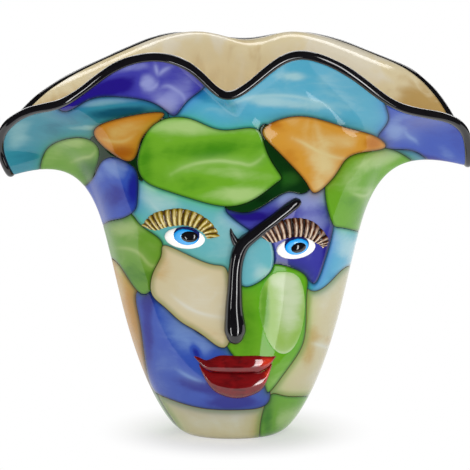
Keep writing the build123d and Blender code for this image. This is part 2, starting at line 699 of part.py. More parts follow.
def build():
    """Makes every sub-part and writes it."""
    os.makedirs("parts", exist_ok=True)
    lining = opal_lining()
    front_coat, back_coat = half_coats(opal_outside, opal_faces)
    bed_rows = sunk_points(skin, trim_bed_depth)
    bed = half_coats(bed_rows, loft_faces(bed_rows))[0]
    shards = cut_shards(front_coat, front_shard_shares, -1)
    for name, pieces in cut_shards(back_coat, back_shard_shares, 1).items():
        shards[name] = shards.get(name, []) + pieces
    save("opal_lining", lining)
    for name, pieces in shards.items():
        save("shard_" + name, pieces)
    save("lip_bead", lip_bead())

    nose = round_cane(nose_stations, nose_lift_share)
    spur = round_cane(spur_stations, nose_lift_share)
    trail = proud_part(nose + spur, bed)
    save("nose_and_brow_trail", trail)

    combs = []
    for name, (upper, lower) in lash_combs.items():
        band = pressed_band(upper, lower, lash_rise, 2 * lash_ribs, lash_furrow_share)
        comb = max(solids_of(band - trail), key=lambda piece: piece.volume)
        combs.append(comb)
        save(name + "_lash_comb", comb)

    for name, places in eyes.items():
        for part, bead in zip(("white", "iris", "pupil"), eye_beads(*places)):
            for comb in combs:
                bead = bead - comb
            save(name + "_eye_" + part, proud_part(bead, bed))

    save("upper_lip", pressed_band(*upper_lip_edges, upper_lip_rise, lip_sections))
    save("lower_lip", pressed_band(*lower_lip_edges, lower_lip_rise, lip_sections))


if __name__ == "__main__":
    build()
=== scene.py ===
"""The looks of a face vase in cased glass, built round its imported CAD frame.

The skin of the vase is worked out again, finely, from the sizes that the CAD frame has, and is
parted into the coloured shards along nearly the same outlines, so that the coat has no gap.
Everything is in the vase's own frame:
the face looks along -Y, +Z is up and the origin is the middle of the foot. Tables are in shares
of the vase or in millimetres, and Blender's units are metres.
"""

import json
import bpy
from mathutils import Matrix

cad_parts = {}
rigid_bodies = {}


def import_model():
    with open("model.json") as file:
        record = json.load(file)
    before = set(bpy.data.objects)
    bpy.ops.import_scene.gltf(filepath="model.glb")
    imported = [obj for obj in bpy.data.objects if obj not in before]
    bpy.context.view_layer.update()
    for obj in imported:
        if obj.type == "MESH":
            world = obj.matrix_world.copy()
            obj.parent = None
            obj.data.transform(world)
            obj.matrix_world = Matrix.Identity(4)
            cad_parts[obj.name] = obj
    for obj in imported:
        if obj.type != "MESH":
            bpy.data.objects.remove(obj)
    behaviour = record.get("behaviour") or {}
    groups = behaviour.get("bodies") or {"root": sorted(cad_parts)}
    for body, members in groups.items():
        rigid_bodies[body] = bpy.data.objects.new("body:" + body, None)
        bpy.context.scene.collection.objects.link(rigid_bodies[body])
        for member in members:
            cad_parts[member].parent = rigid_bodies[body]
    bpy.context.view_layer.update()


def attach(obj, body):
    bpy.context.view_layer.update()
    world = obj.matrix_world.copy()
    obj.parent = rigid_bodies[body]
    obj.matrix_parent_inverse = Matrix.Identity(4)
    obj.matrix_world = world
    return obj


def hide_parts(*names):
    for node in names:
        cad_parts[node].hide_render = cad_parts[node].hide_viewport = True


bl_info = {
    "name": "Face vase",
    "version": (1, 0, 0),
    "blender": (4, 5, 0),
    "location": "View3D > Sidebar > Vase",
    "description": "Builds the glass of a face vase over its CAD frame",
    "category": "Object",
}

import bpy
import numpy as np
from mathutils import Vector

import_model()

MM = 0.001

# Sizes of the vase in millimetres, as the CAD frame has them
HALF_WIDTH = 175.0
HALF_DEPTH = 91.5
HEIGHT = 295.0
SHARD_THICKNESS = 2.0
WALL_THICKNESS = 4.6

# Body sections: height, half width and half depth as shares of the vase's
BODY_SECTIONS = (
    (0, 0.206, 0.328), (0.01, 0.234, 0.372), (0.027, 0.263, 0.404), (0.061, 0.303, 0.454),
    (0.119, 0.354, 0.503), (0.203, 0.409, 0.557), (0.305, 0.46, 0.607), (0.39, 0.494, 0.639),
    (0.458, 0.52, 0.667), (0.508, 0.54, 0.683),
)

# How the skin is lofted: where the body's axis is, as a share of the half width, which section is
# the floor inside, and the steps, the lean, the rises and the last reach of the flare's staves
BODY_AXIS_SHARE = -0.013
FLOOR_RING = 2
FLARE_STEPS = 8
SHOULDER_LEAN = 0.24
FRONT_RISE = 0.42
SIDE_RISE = 0.20
LIP_REACH = 0.45

# The slope of the line of sight, along which the outlines are seen on the upright plane
SIGHT_SLOPE = 0.16734

# The rim once round from the dip at the back: stave angle, place in shares, last slope
RIM_STATIONS = (
    (80, 0.029, 0.962, 0.959, -10), (93, -0.217, 0.962, 0.976, -16),
    (107, -0.429, 0.896, 0.946, -16), (120, -0.611, 0.765, 0.902, -16),
    (132, -0.76, 0.601, 0.861, -14), (144, -0.88, 0.415, 0.81, -12),
    (160, -0.96, 0.186, 0.732, -12), (180, -0.943, 0, 0.664, -16),
    (190, -0.981, -0.142, 0.725, -10), (201, -0.954, -0.295, 0.793, 5),
    (213, -0.851, -0.459, 0.837, 15), (226, -0.726, -0.612, 0.861, 25),
    (238, -0.6, -0.743, 0.912, 38), (249, -0.463, -0.842, 0.969, 48),
    (260, -0.297, -0.885, 0.986, 50), (270, -0.16, -0.918, 0.949, 42),
    (280, -0.051, -0.962, 0.898, 30), (290, 0.069, -0.94, 0.919, 36),
    (300, 0.217, -0.885, 0.983, 50), (310, 0.354, -0.842, 0.98, 48),
    (321, 0.497, -0.765, 0.932, 38), (333, 0.663, -0.623, 0.858, 25),
    (344, 0.84, -0.437, 0.824, 15), (353, 0.96, -0.24, 0.776, 5),
    (360, 0.981, -0.033, 0.692, -12), (368, 0.96, 0.175, 0.722, -14),
    (377, 0.891, 0.393, 0.81, -12), (388, 0.766, 0.601, 0.885, -14),
    (400, 0.611, 0.765, 0.925, -16), (413, 0.423, 0.896, 0.963, -16),
    (427, 0.229, 0.962, 0.976, -16),
)

# Shard outlines in the upright plane, as shares of half width and height. The first ones of
# each side lie over the later ones.
FRONT_SHARDS = {
    "forehead_lime": (
        (-0.365, 0.77), (-0.29, 0.8), (-0.185, 0.8), (-0.08, 0.775), (0.02, 0.775), (0.1, 0.77),
        (0.135, 0.715), (0.19, 0.66), (0.175, 0.64), (0.085, 0.6), (-0.03, 0.58), (-0.16, 0.595),
        (-0.29, 0.62), (-0.38, 0.645), (-0.41, 0.685), (-0.4, 0.725),
    ),
    "crown_amber_right": (
        (0.115, 0.77), (0.195, 0.8), (0.32, 0.805), (0.47, 0.78), (0.59, 0.76), (0.635, 0.73),
        (0.515, 0.715), (0.45, 0.685), (0.41, 0.65), (0.34, 0.615), (0.3, 0.64), (0.235, 0.685),
        (0.16, 0.73),
    ),
    "crown_amber_left": (
        (-0.595, 0.765), (-0.495, 0.8), (-0.3, 0.815), (-0.365, 0.77), (-0.405, 0.725),
        (-0.44, 0.695), (-0.52, 0.715),
    ),
    "lobe_violet": (
        (-0.725, 0.82), (-0.75, 0.89), (-0.58, 0.98), (-0.365, 1.01), (-0.17, 0.98),
        (-0.105, 0.9), (-0.185, 0.85), (-0.235, 0.815), (-0.27, 0.81), (-0.345, 0.84),
        (-0.495, 0.855), (-0.62, 0.845),
    ),
    "tip_cobalt_right": (
        (0.605, 0.76), (0.645, 0.805), (0.64, 0.865), (0.88, 0.88), (1.095, 0.8), (1.075, 0.695),
        (0.945, 0.66), (0.835, 0.695), (0.75, 0.725), (0.645, 0.73),
    ),
    "cheek_lime_pale": (
        (0.15, 0.405), (0.215, 0.415), (0.27, 0.4), (0.295, 0.35), (0.29, 0.285), (0.26, 0.23),
        (0.21, 0.205), (0.155, 0.225), (0.115, 0.28), (0.105, 0.35),
    ),
    "nose_aqua": (
        (0.02, 0.45), (0.065, 0.495), (0.14, 0.5), (0.165, 0.445), (0.125, 0.4), (0.03, 0.38),
    ),
    "cheek_cream_left": (
        (-0.28, 0.48), (-0.105, 0.435), (-0.025, 0.4), (-0.025, 0.235), (-0.13, 0.25),
        (-0.225, 0.285), (-0.3, 0.325), (-0.355, 0.36), (-0.345, 0.415), (-0.31, 0.46),
    ),
    "temple_cobalt": (
        (-0.665, 0.605), (-0.61, 0.65), (-0.57, 0.69), (-0.515, 0.705), (-0.45, 0.69),
        (-0.41, 0.66), (-0.41, 0.605), (-0.425, 0.57), (-0.485, 0.55), (-0.55, 0.54),
        (-0.62, 0.53),
    ),
    "temple_lime_right": (
        (0.64, 0.73), (0.715, 0.715), (0.795, 0.665), (0.71, 0.595), (0.615, 0.52),
        (0.47, 0.525), (0.415, 0.535), (0.385, 0.59), (0.385, 0.655), (0.44, 0.705),
        (0.53, 0.735),
    ),
    "temple_lime_left": (
        (-0.645, 0.535), (-0.55, 0.555), (-0.45, 0.565), (-0.4, 0.535), (-0.32, 0.5),
        (-0.305, 0.465), (-0.32, 0.42), (-0.355, 0.37), (-0.405, 0.36), (-0.465, 0.405),
        (-0.535, 0.45), (-0.63, 0.465),
    ),
    "root_lime_left": (
        (-0.83, 0.69), (-0.775, 0.74), (-0.685, 0.755), (-0.615, 0.75), (-0.575, 0.725),
        (-0.585, 0.685), (-0.61, 0.645), (-0.665, 0.595), (-0.815, 0.595),
    ),
    "brow_forest": (
        (-0.045, 0.585), (0.07, 0.61), (0.12, 0.66), (0.095, 0.735), (0.115, 0.785),
        (0.18, 0.765), (0.25, 0.7), (0.32, 0.64), (0.28, 0.612), (0.215, 0.615), (0.115, 0.58),
        (0.02, 0.565),
    ),
    "root_forest_left": (
        (-0.605, 0.755), (-0.5, 0.735), (-0.42, 0.75), (-0.32, 0.805), (-0.37, 0.7),
        (-0.395, 0.645), (-0.47, 0.69), (-0.53, 0.695), (-0.615, 0.67),
    ),
    "cheek_lime": (
        (-0.04, 0.38), (0.115, 0.42), (0.17, 0.435), (0.29, 0.41), (0.305, 0.355), (0.3, 0.26),
        (0.265, 0.2), (0.2, 0.145), (0.14, 0.105), (0.1, 0.15), (-0.035, 0.225),
    ),
    "eye_violet": (
        (-0.04, 0.575), (0.115, 0.595), (0.215, 0.62), (0.265, 0.63), (0.355, 0.635),
        (0.42, 0.59), (0.41, 0.505), (0.38, 0.44), (0.34, 0.385), (0.28, 0.405), (0.17, 0.42),
        (0.155, 0.465), (0.085, 0.51),
    ),
    "jaw_cobalt": (
        (-0.415, 0.365), (-0.3, 0.34), (-0.17, 0.265), (-0.055, 0.24), (0.045, 0.235),
        (0.115, 0.16), (0.15, 0.105), (0.125, 0.07), (0.02, 0.06), (-0.15, 0.065), (-0.3, 0.09),
        (-0.365, 0.12), (-0.39, 0.205), (-0.41, 0.295),
    ),
    "side_aqua_right": (
        (0.37, 0.53), (0.47, 0.555), (0.685, 0.565), (0.62, 0.45), (0.5, 0.43), (0.425, 0.4),
        (0.34, 0.365), (0.29, 0.415),
    ),
    "side_amber_left": (
        (-0.535, 0.48), (-0.455, 0.42), (-0.41, 0.36), (-0.395, 0.26), (-0.37, 0.17),
        (-0.35, 0.115), (-0.535, 0.115), (-0.665, 0.5),
    ),
    "base_lime_right": (
        (0.135, 0.085), (0.215, 0.095), (0.365, 0.09), (0.45, 0.05), (0.28, -0.04),
        (0.115, -0.04),
    ),
    "side_cream_right": (
        (0.29, 0.365), (0.34, 0.4), (0.47, 0.445), (0.62, 0.465), (0.58, 0.26), (0.47, 0.075),
        (0.215, 0.09), (0.115, 0.09), (0.15, 0.125), (0.235, 0.195), (0.29, 0.26),
    ),
    "base_lime_left": (
        (-0.495, 0.12), (-0.365, 0.12), (-0.315, 0.075), (-0.245, 0.005), (-0.28, -0.04),
        (-0.45, -0.04),
    ),
    "base_cream": (
        (-0.365, 0.13), (-0.3, 0.115), (-0.15, 0.095), (0.135, 0.085), (0.14, -0.05),
        (-0.32, -0.05),
    ),
    "band_aqua_right": (
        (-0.27, 0.835), (-0.135, 0.9), (-0.02, 0.915), (0.105, 0.98), (0.41, 1.005),
        (0.62, 0.915), (0.675, 0.84), (0.645, 0.75), (0.59, 0.755), (0.47, 0.77), (0.32, 0.79),
        (0.195, 0.79), (0.115, 0.765), (0, 0.765), (-0.22, 0.785),
    ),
    "tip_turquoise_right": (
        (0.62, 0.745), (0.75, 0.735), (0.845, 0.705), (0.955, 0.665), (1.075, 0.695),
        (1.095, 0.605), (0.88, 0.58), (0.71, 0.63), (0.675, 0.695),
    ),
    "tip_turquoise_left": (
        (-1.095, 0.75), (-0.925, 0.865), (-0.725, 0.88), (-0.495, 0.87), (-0.32, 0.845),
        (-0.215, 0.815), (-0.32, 0.8), (-0.495, 0.79), (-0.595, 0.735), (-0.685, 0.73),
        (-0.775, 0.715), (-0.815, 0.67), (-0.835, 0.58), (-1.095, 0.58),
    ),
    "eye_aqua": (
        (-0.045, 0.335), (-0.365, 0.335), (-0.45, 0.515), (-0.45, 0.725), (-0.15, 0.62),
        (0.065, 0.62), (0.115, 0.515), (0.065, 0.335),
    ),
}

BACK_SHARDS = {
    "back_heart_lime": (
        (-0.26, 0.725), (-0.15, 0.78), (0, 0.76), (0.115, 0.795), (0.235, 0.75), (0.245, 0.66),
        (0.14, 0.58), (0, 0.535), (-0.15, 0.595), (-0.245, 0.65),
    ),
    "back_lobe_cobalt_left": (
        (-0.71, 0.84), (-0.535, 0.93), (-0.32, 1.005), (-0.13, 0.955), (-0.085, 0.865),
        (-0.195, 0.805), (-0.32, 0.78), (-0.47, 0.795), (-0.6, 0.8),
    ),
    "back_lobe_amber": (
        (0.115, 0.955), (0.28, 1.035), (0.495, 0.995), (0.59, 0.905), (0.495, 0.83),
        (0.32, 0.81), (0.17, 0.825), (0.085, 0.88),
    ),
    "root_lime_left": (
        (-0.83, 0.69), (-0.75, 0.76), (-0.6, 0.8), (-0.46, 0.795), (-0.43, 0.75),
        (-0.515, 0.685), (-0.61, 0.645), (-0.665, 0.595), (-0.815, 0.595),
    ),
    "back_amber_shoulder": (
        (0.28, 0.805), (0.47, 0.825), (0.645, 0.785), (0.685, 0.73), (0.535, 0.675),
        (0.41, 0.65), (0.3, 0.685), (0.245, 0.75),
    ),
    "back_cobalt_center": (
        (-0.15, 0.605), (0.005, 0.555), (0.15, 0.6), (0.28, 0.53), (0.3, 0.435), (0.195, 0.355),
        (0.02, 0.335), (-0.13, 0.375), (-0.195, 0.465),
    ),
    "back_lime_low": (
        (-0.26, 0.335), (-0.12, 0.385), (0.02, 0.36), (0.2, 0.375), (0.28, 0.285), (0.235, 0.17),
        (0.115, 0.1), (-0.045, 0.09), (-0.195, 0.13), (-0.27, 0.22),
    ),
    "back_cream_left": (
        (-0.23, 0.33), (-0.245, 0.22), (-0.2, 0.135), (-0.3, 0.1), (-0.365, 0.115),
        (-0.41, 0.205), (-0.415, 0.36), (-0.3, 0.415), (-0.185, 0.45), (-0.13, 0.365),
    ),
    "back_aqua_left": (
        (-0.235, 0.645), (-0.15, 0.585), (-0.17, 0.465), (-0.3, 0.41), (-0.415, 0.365),
        (-0.465, 0.405), (-0.365, 0.505), (-0.43, 0.58), (-0.53, 0.695), (-0.44, 0.81),
        (-0.32, 0.79), (-0.255, 0.725),
    ),
    "temple_cobalt": (
        (-0.665, 0.605), (-0.61, 0.65), (-0.5, 0.69), (-0.43, 0.645), (-0.41, 0.575),
        (-0.495, 0.535), (-0.62, 0.53),
    ),
    "temple_lime_left": (
        (-0.645, 0.535), (-0.495, 0.54), (-0.4, 0.565), (-0.355, 0.5), (-0.41, 0.435),
        (-0.465, 0.405), (-0.535, 0.45), (-0.63, 0.465),
    ),
    "temple_lime_right": (
        (0.64, 0.73), (0.715, 0.715), (0.795, 0.665), (0.71, 0.595), (0.615, 0.52),
        (0.495, 0.53), (0.43, 0.595), (0.47, 0.665),
    ),
    "side_aqua_right": (
        (0.43, 0.51), (0.5, 0.53), (0.645, 0.555), (0.58, 0.435), (0.495, 0.425), (0.385, 0.39),
        (0.285, 0.435), (0.355, 0.49),
    ),
    "side_cream_right": (
        (0.2, 0.27), (0.17, 0.345), (0.27, 0.425), (0.385, 0.415), (0.47, 0.445), (0.62, 0.465),
        (0.58, 0.26), (0.47, 0.075), (0.215, 0.09), (0.14, 0.11), (0.235, 0.17),
    ),
    "side_amber_left": (
        (-0.535, 0.48), (-0.455, 0.43), (-0.415, 0.36), (-0.395, 0.205), (-0.355, 0.115),
        (-0.535, 0.115), (-0.665, 0.5),
    ),
    "base_lime_left": (
        (-0.28, 0.09), (-0.215, 0.05), (-0.28, -0.04), (-0.45, -0.04), (-0.495, 0.12),
        (-0.365, 0.115),
    ),
    "base_lime_right": (
        (0.135, 0.115), (0.215, 0.095), (0.365, 0.09), (0.45, 0.05), (0.28, -0.04),
        (0.085, -0.04),
    ),
    "base_cream": (
        (-0.365, 0.13), (-0.195, 0.145), (-0.045, 0.11), (0.135, 0.1), (0.14, -0.05),
        (-0.32, -0.05),
    ),
    "tip_cobalt_right": (
        (0.66, 0.94), (0.88, 0.91), (1.095, 0.805), (1.07, 0.7), (0.945, 0.655), (0.83, 0.67),
        (0.74, 0.7), (0.64, 0.745), (0.6, 0.825),
    ),
    "tip_turquoise_right": (
        (0.62, 0.745), (0.75, 0.735), (0.845, 0.705), (0.955, 0.665), (1.075, 0.695),
        (1.095, 0.605), (0.88, 0.58), (0.71, 0.63), (0.675, 0.695),
    ),
    "tip_turquoise_left": (
        (-1.095, 0.75), (-0.925, 0.905), (-0.665, 0.905), (-0.535, 0.85), (-0.6, 0.785),
        (-0.75, 0.75), (-0.815, 0.67), (-0.835, 0.58), (-1.095, 0.58),
    ),
    "back_violet_right": (
        (0.215, 0.75), (0.3, 0.725), (0.45, 0.67), (0.53, 0.595), (0.52, 0.53), (0.43, 0.49),
        (0.33, 0.465), (0.235, 0.505), (0.14, 0.565), (0.17, 0.66),
    ),
    "back_band_aqua": (
        (0.74, 0.96), (0.73, 0.765), (0.52, 0.72), (0.25, 0.7), (0.01, 0.7), (-0.22, 0.69),
        (-0.4, 0.75), (-0.21, 0.88), (-0.1, 0.975), (0.06, 1.04), (0.2, 1.03), (0.42, 1.075),
    ),
}

# The black trail: place in shares, and its radius as a share of the nose's
NOSE_STATIONS = (
    (0, 0.24, 0.2), (0, 0.243, 0.55), (0, 0.251, 0.82), (0, 0.266, 1), (-0.002, 0.295, 0.93),
    (-0.004, 0.328, 0.8), (-0.002, 0.364, 0.71), (0, 0.403, 0.64), (0.004, 0.434, 0.64),
    (0.015, 0.465, 0.68), (0.034, 0.488, 0.67), (0.069, 0.506, 0.6), (0.107, 0.524, 0.55),
    (0.15, 0.543, 0.52), (0.193, 0.563, 0.51), (0.232, 0.581, 0.52), (0.254, 0.59, 0.48),
    (0.266, 0.595, 0.34), (0.271, 0.597, 0.14),
)
SPUR_STATIONS = (
    (-0.018, 0.525, 0.06), (-0.015, 0.515, 0.16), (-0.005, 0.5, 0.3), (0.015, 0.48, 0.42),
)

# Pressed bands: the places of the upper and the lower edge of each
BANDS = {
    "left_lash_comb": (
        (
            (-0.395, 0.534), (-0.365, 0.555), (-0.33, 0.567), (-0.279, 0.574), (-0.227, 0.576),
            (-0.176, 0.569), (-0.129, 0.555), (-0.09, 0.534), (-0.06, 0.506),
        ),
        (
            (-0.382, 0.527), (-0.335, 0.519), (-0.305, 0.524), (-0.27, 0.529), (-0.227, 0.532),
            (-0.189, 0.529), (-0.155, 0.521), (-0.133, 0.511), (-0.12, 0.499),
        ),
    ),
    "right_lash_comb": (
        (
            (0.103, 0.509), (0.133, 0.529), (0.176, 0.542), (0.227, 0.551), (0.275, 0.552),
            (0.322, 0.545), (0.361, 0.528), (0.395, 0.501), (0.391, 0.483),
        ),
        (
            (0.124, 0.496), (0.159, 0.488), (0.193, 0.494), (0.232, 0.501), (0.275, 0.502),
            (0.309, 0.497), (0.335, 0.489), (0.356, 0.483), (0.369, 0.475),
        ),
    ),
    "upper_lip": (
        (
            (-0.172, 0.2), (-0.146, 0.195), (-0.116, 0.19), (-0.069, 0.201), (-0.013, 0.201),
            (0.052, 0.201), (0.099, 0.201), (0.137, 0.199), (0.172, 0.2),
        ),
        (
            (-0.172, 0.196), (-0.146, 0.178), (-0.116, 0.163), (-0.069, 0.156), (-0.013, 0.155),
            (0.052, 0.155), (0.099, 0.157), (0.137, 0.168), (0.172, 0.196),
        ),
    ),
    "lower_lip": (
        (
            (-0.15, 0.177), (-0.129, 0.163), (-0.099, 0.155), (-0.056, 0.153), (0.004, 0.152),
            (0.064, 0.153), (0.112, 0.155), (0.137, 0.164), (0.155, 0.177),
        ),
        (
            (-0.15, 0.171), (-0.129, 0.143), (-0.099, 0.115), (-0.056, 0.098), (0.004, 0.09),
            (0.064, 0.096), (0.112, 0.112), (0.137, 0.14), (0.155, 0.171),
        ),
    ),
}

# The places of each eye's white, iris and pupil
EYES = {
    "left": ((-0.212, 0.500), (-0.203, 0.506), (-0.192, 0.5075)),
    "right": ((0.258, 0.475), (0.256, 0.481), (0.259, 0.4805)),
}

# Lighter and darker patches on the front shards, partly the melt's own uneven tone and partly
# painted highlights and painted shade: x, z, half sizes, turn in degrees, and how much lighter than
# the middle tone, or darker if it is negative. Places are in millimetres.
TONE_AND_LIGHT_PATCHES = {
    "forehead_lime": (
        (-26, 231, 45, 7, 0, 0.8), (-20, 213, 32, 8, 5, -0.75), (-5, 196, 30, 5, -5, 0.5),
        (-40, 189, 26, 7, -12, -0.3), (2, 180, 27, 6, 0, 0.95), (-66, 206, 6, 20, 0, -0.6),
        (20, 213, 9, 18, 0, -0.2),
    ),
    "crown_amber_right": (
        (49, 230, 26, 6, -8, 0.25), (65, 204, 15, 9, -50, 0.85), (75, 220, 20, 6, 0, 0.55),
        (27, 233, 12, 5, -20, -1), (41, 207, 9, 6, -50, -0.5), (101, 219, 9, 5, 0, -0.9),
        (61, 187, 6, 7, 0, 0.6),
    ),
    "crown_amber_left": (
        (-85, 228, 18, 6, 15, 0.7), (-82, 212, 12, 6, 0, -0.9), (-98, 225, 7, 5, 0, -0.5),
        (-60, 238, 11, 4, 0, -0.3),
    ),
    "lobe_violet": (
        (-105, 254, 32, 6, 18, -1), (-64, 263, 7, 6, 0, 1.1), (-50, 248, 9, 10, 0, 0.85),
        (-38, 260, 9, 12, 0, 0.55), (-79, 273, 26, 4, 8, 0.5), (-86, 260, 12, 7, 0, -0.7),
        (-116, 248, 15, 4, 15, -0.4), (-28, 248, 8, 8, 0, 0.2),
    ),
    "band_aqua_right": (
        (38, 262, 38, 8, 0, 0.2), (34, 248, 42, 4, -3, 0.8), (49, 235, 45, 5, -5, -0.45),
        (-8, 241, 17, 4, -15, 0.4), (75, 254, 17, 9, -30, 0.3), (-24, 254, 9, 6, -20, -0.7),
        (43, 267, 9, 3, 0, 0.8), (-2, 248, 14, 4, 0, -0.6),
    ),
    "tip_turquoise_left": (
        (-92, 249, 34, 3, 6, 0.7), (-131, 244, 26, 3, 12, 0.3), (-83, 241, 24, 4, 5, -1.1),
        (-143, 236, 26, 5, 20, 0.1), (-156, 210, 11, 7, 0, -0.5), (-161, 225, 9, 12, -10, 0.6),
        (-110, 230, 17, 2, 0, 0.9), (-131, 230, 15, 6, 10, -0.3),
    ),
    "tip_cobalt_right": (
        (118, 228, 9, 7, 0, 0.9), (143, 233, 26, 5, -10, -0.3), (158, 212, 9, 5, -30, 0.5),
        (151, 206, 20, 3, -14, -1), (124, 238, 12, 3, 10, 0.5), (165, 225, 6, 11, 0, -0.3),
    ),
    "tip_turquoise_right": (
        (137, 209, 12, 4, -10, 0.5),
    ),
    "root_lime_left": (
        (-122, 220, 17, 5, 0, 0.7), (-137, 210, 11, 6, 0, 0.3), (-109, 200, 9, 9, -30, -0.9),
    ),
    "temple_cobalt": (
        (-90, 200, 14, 9, 0, 0.75), (-88, 179, 14, 9, 0, -0.7), (-74, 189, 5, 15, 0, -0.9),
        (-103, 190, 5, 15, 0, 0.2),
    ),
    "eye_aqua": (
        (-56, 175, 17, 9, -20, 0.7), (-5, 152, 17, 18, 0, 0.5), (-26, 128, 18, 5, -35, -0.2),
        (-10, 118, 11, 7, -35, -0.5), (-65, 186, 8, 6, 0, 0.5), (-45, 131, 15, 5, -20, -0.6),
    ),
    "eye_violet": (
        (49, 178, 21, 10, 0, 1.2), (10, 164, 18, 4, 0, -1.1), (49, 128, 21, 5, 0, -0.15),
        (70, 137, 5, 17, 0, -1.1), (41, 119, 17, 4, 0, 0.2), (56, 158, 15, 8, 0, 0.6),
    ),
    "nose_aqua": (
        (14, 136, 6, 11, 0, 0.2), (20, 122, 7, 7, 0, 0.7),
    ),
    "cheek_cream_left": (
        (-26, 105, 24, 17, -20, 0.4), (-54, 128, 9, 11, 0, -0.5), (-23, 80, 18, 6, -18, -0.2),
    ),
    "jaw_cobalt": (
        (-34, 76, 27, 12, -30, 0.8), (-65, 72, 5, 33, 0, -0.9), (-23, 35, 27, 5, -15, -1.1),
        (0, 23, 20, 5, 0, -1.2), (-53, 44, 15, 11, -30, 0.2), (-29, 62, 3, 6, 30, -1.2),
        (4, 65, 11, 7, 0, 0.6), (-64, 99, 8, 9, 0, -0.6),
    ),
    "temple_lime_left": (
        (-80, 155, 15, 7, 0, 0.8), (-75, 120, 18, 9, 0, -0.5), (-97, 145, 6, 12, 0, -0.4),
        (-65, 125, 11, 3, 10, 0.3), (-92, 128, 9, 6, 0, 0.3),
    ),
    "temple_lime_right": (
        (109, 207, 20, 6, 20, 0.9), (90, 173, 11, 15, 20, -0.4), (105, 166, 9, 5, 0, -0.8),
        (86, 190, 9, 8, 0, 0.5), (94, 184, 11, 3, 0, 0.5),
    ),
    "cheek_lime_pale": (
        (41, 99, 10, 23, 0, 0.9), (22, 97, 4, 23, 0, -1), (32, 116, 12, 6, 0, 0.6),
        (28, 76, 9, 8, 0, 0.1),
    ),
    "cheek_lime": (
        (10, 80, 8, 27, 0, -0.4), (38, 44, 20, 6, 30, 0.6), (20, 53, 12, 6, 20, 0.2),
    ),
    "side_aqua_right": (
        (88, 139, 15, 9, 0, 1), (98, 128, 11, 5, 30, -0.7), (79, 151, 9, 6, 0, 0.5),
        (75, 118, 9, 3, 0, -0.4),
    ),
    "side_amber_left": (
        (-86, 107, 5, 35, 0, 0.5), (-77, 69, 6, 15, 0, 0.2),
    ),
    "side_cream_right": (
        (75, 99, 17, 23, 0, 0.3), (56, 65, 6, 18, -10, -0.7), (65, 42, 18, 9, 20, 0.6),
        (75, 70, 15, 4, -10, -0.5),
    ),
    "base_cream": (
        (-17, 8, 32, 8, 0, 0.5), (15, 4, 8, 12, 0, -0.6),
    ),
    "base_lime_right": (
        (43, 8, 15, 11, 0, 0.9), (25, 8, 5, 15, 0, -0.9),
    ),
    "base_lime_left": (
        (-56, 9, 6, 15, 0, 0.4),
    ),
    "brow_forest": (
        (20, 178, 8, 6, 0, -0.6), (41, 192, 8, 6, 0, 0.8),
    ),
    "root_forest_left": (
        (-92, 202, 9, 6, 0, -0.5),
    ),
}

# Painted highlights along the creases where a shard folded as it was picked up, each a line of
# places in millimetres
CREASE_HIGHLIGHTS = {
    "forehead_lime": (
        ((-47, 195), (-40, 199), (-32, 202), (-23, 204), (-11, 205), (-2, 204), (5, 203), (11, 202),
         (17, 205), (21, 209)),
    ),
    "crown_amber_right": (
        ((42, 222), (51, 218), (62, 212), (74, 208), (84, 207)),
    ),
    "crown_amber_left": (
        ((-99, 222), (-91, 220), (-81, 220), (-73, 225)),
    ),
    "lobe_violet": (
        ((-58, 276), (-56, 267)),
        ((-56, 267), (-52, 271), (-46, 274)),
        ((-55, 258), (-49, 260), (-43, 257), (-38, 253), (-36, 247)),
        ((-65, 257), (-59, 259), (-56, 263)),
    ),
    "band_aqua_right": (
        ((-5, 245), (11, 251), (30, 253), (47, 252), (62, 248), (77, 241)),
    ),
    "tip_cobalt_right": (
        ((126, 229), (128, 225), (133, 222), (136, 219)),
    ),
    "root_lime_left": (
        ((-122, 205), (-113, 208), (-107, 209), (-103, 213)),
    ),
    "temple_lime_left": (
        ((-89, 140), (-82, 140), (-74, 138), (-68, 133), (-62, 127), (-54, 128)),
        ((-103, 128), (-97, 123), (-92, 117)),
    ),
    "temple_lime_right": (
        ((86, 182), (92, 180), (98, 180), (103, 185)),
        ((88, 200), (95, 203), (103, 209)),
    ),
    "cheek_cream_left": (
        ((-47, 105), (-37, 97), (-24, 91), (-8, 88)),
    ),
    "cheek_lime_pale": (
        ((16, 84), (21, 73), (27, 65), (35, 61), (43, 64), (50, 71)),
    ),
    "side_cream_right": (
        ((58, 68), (65, 66), (74, 62)),
    ),
    "side_aqua_right": (
        ((77, 121), (86, 128), (96, 133)),
    ),
    "jaw_cobalt": (
        ((-44, 49), (-34, 43), (-23, 39)),
    ),
    "eye_aqua": (
        ((-64, 178), (-59, 171), (-53, 166)),
    ),
}

# The patterns in the glasses: size in millimetres, stretch along each axis, detail and swirl
PATTERNS = {
    "melt_clouds": (34, (1, 1, 1.3), 2, 1.2),
    "melt_streaks": (12, (0.6, 1, 1.8), 3, 2),
    "surface_waves": (30, (1, 1, 0.6), 1, 0.2),
    "opal_clouds": (42, (1, 1, 0.6), 2, 0.8),
    "opal_streaks": (16, (1, 1, 0.28), 3, 0.8),
    "black_clouds": (14, (1, 1, 1), 2, 0.5),
    "comb_grain": (3.5, (1, 1, 0.6), 3, 1),
    "ruby_streaks": (9, (1, 1, 2.2), 2, 0.8),
    "white_clouds": (8, (1, 1, 1), 2, 0.6),
    "iris_grain": (3, (1, 1, 1), 2, 0.6),
}
MELT_CLOUD_STRENGTHS = {"melt_clouds": 1.0, "melt_streaks": 0.3}
WAVE_STRENGTH = 0.25
WAVE_HEIGHT = 0.6
GLASS_IOR = 1.5
COAT_ROUGHNESS = 0.03

# Where the deep, the middle and the light tone of each glass lie on its level
TONE_PLACES = {
    "melt": (0.0, 0.5, 1.0),
    "opal": (0.36, 0.62, 0.98),
    "comb": (0.05, 0.5, 0.98),
    "ruby": (0.05, 0.45, 0.95),
    "iris": (0.60, 0.80, 0.87),
}
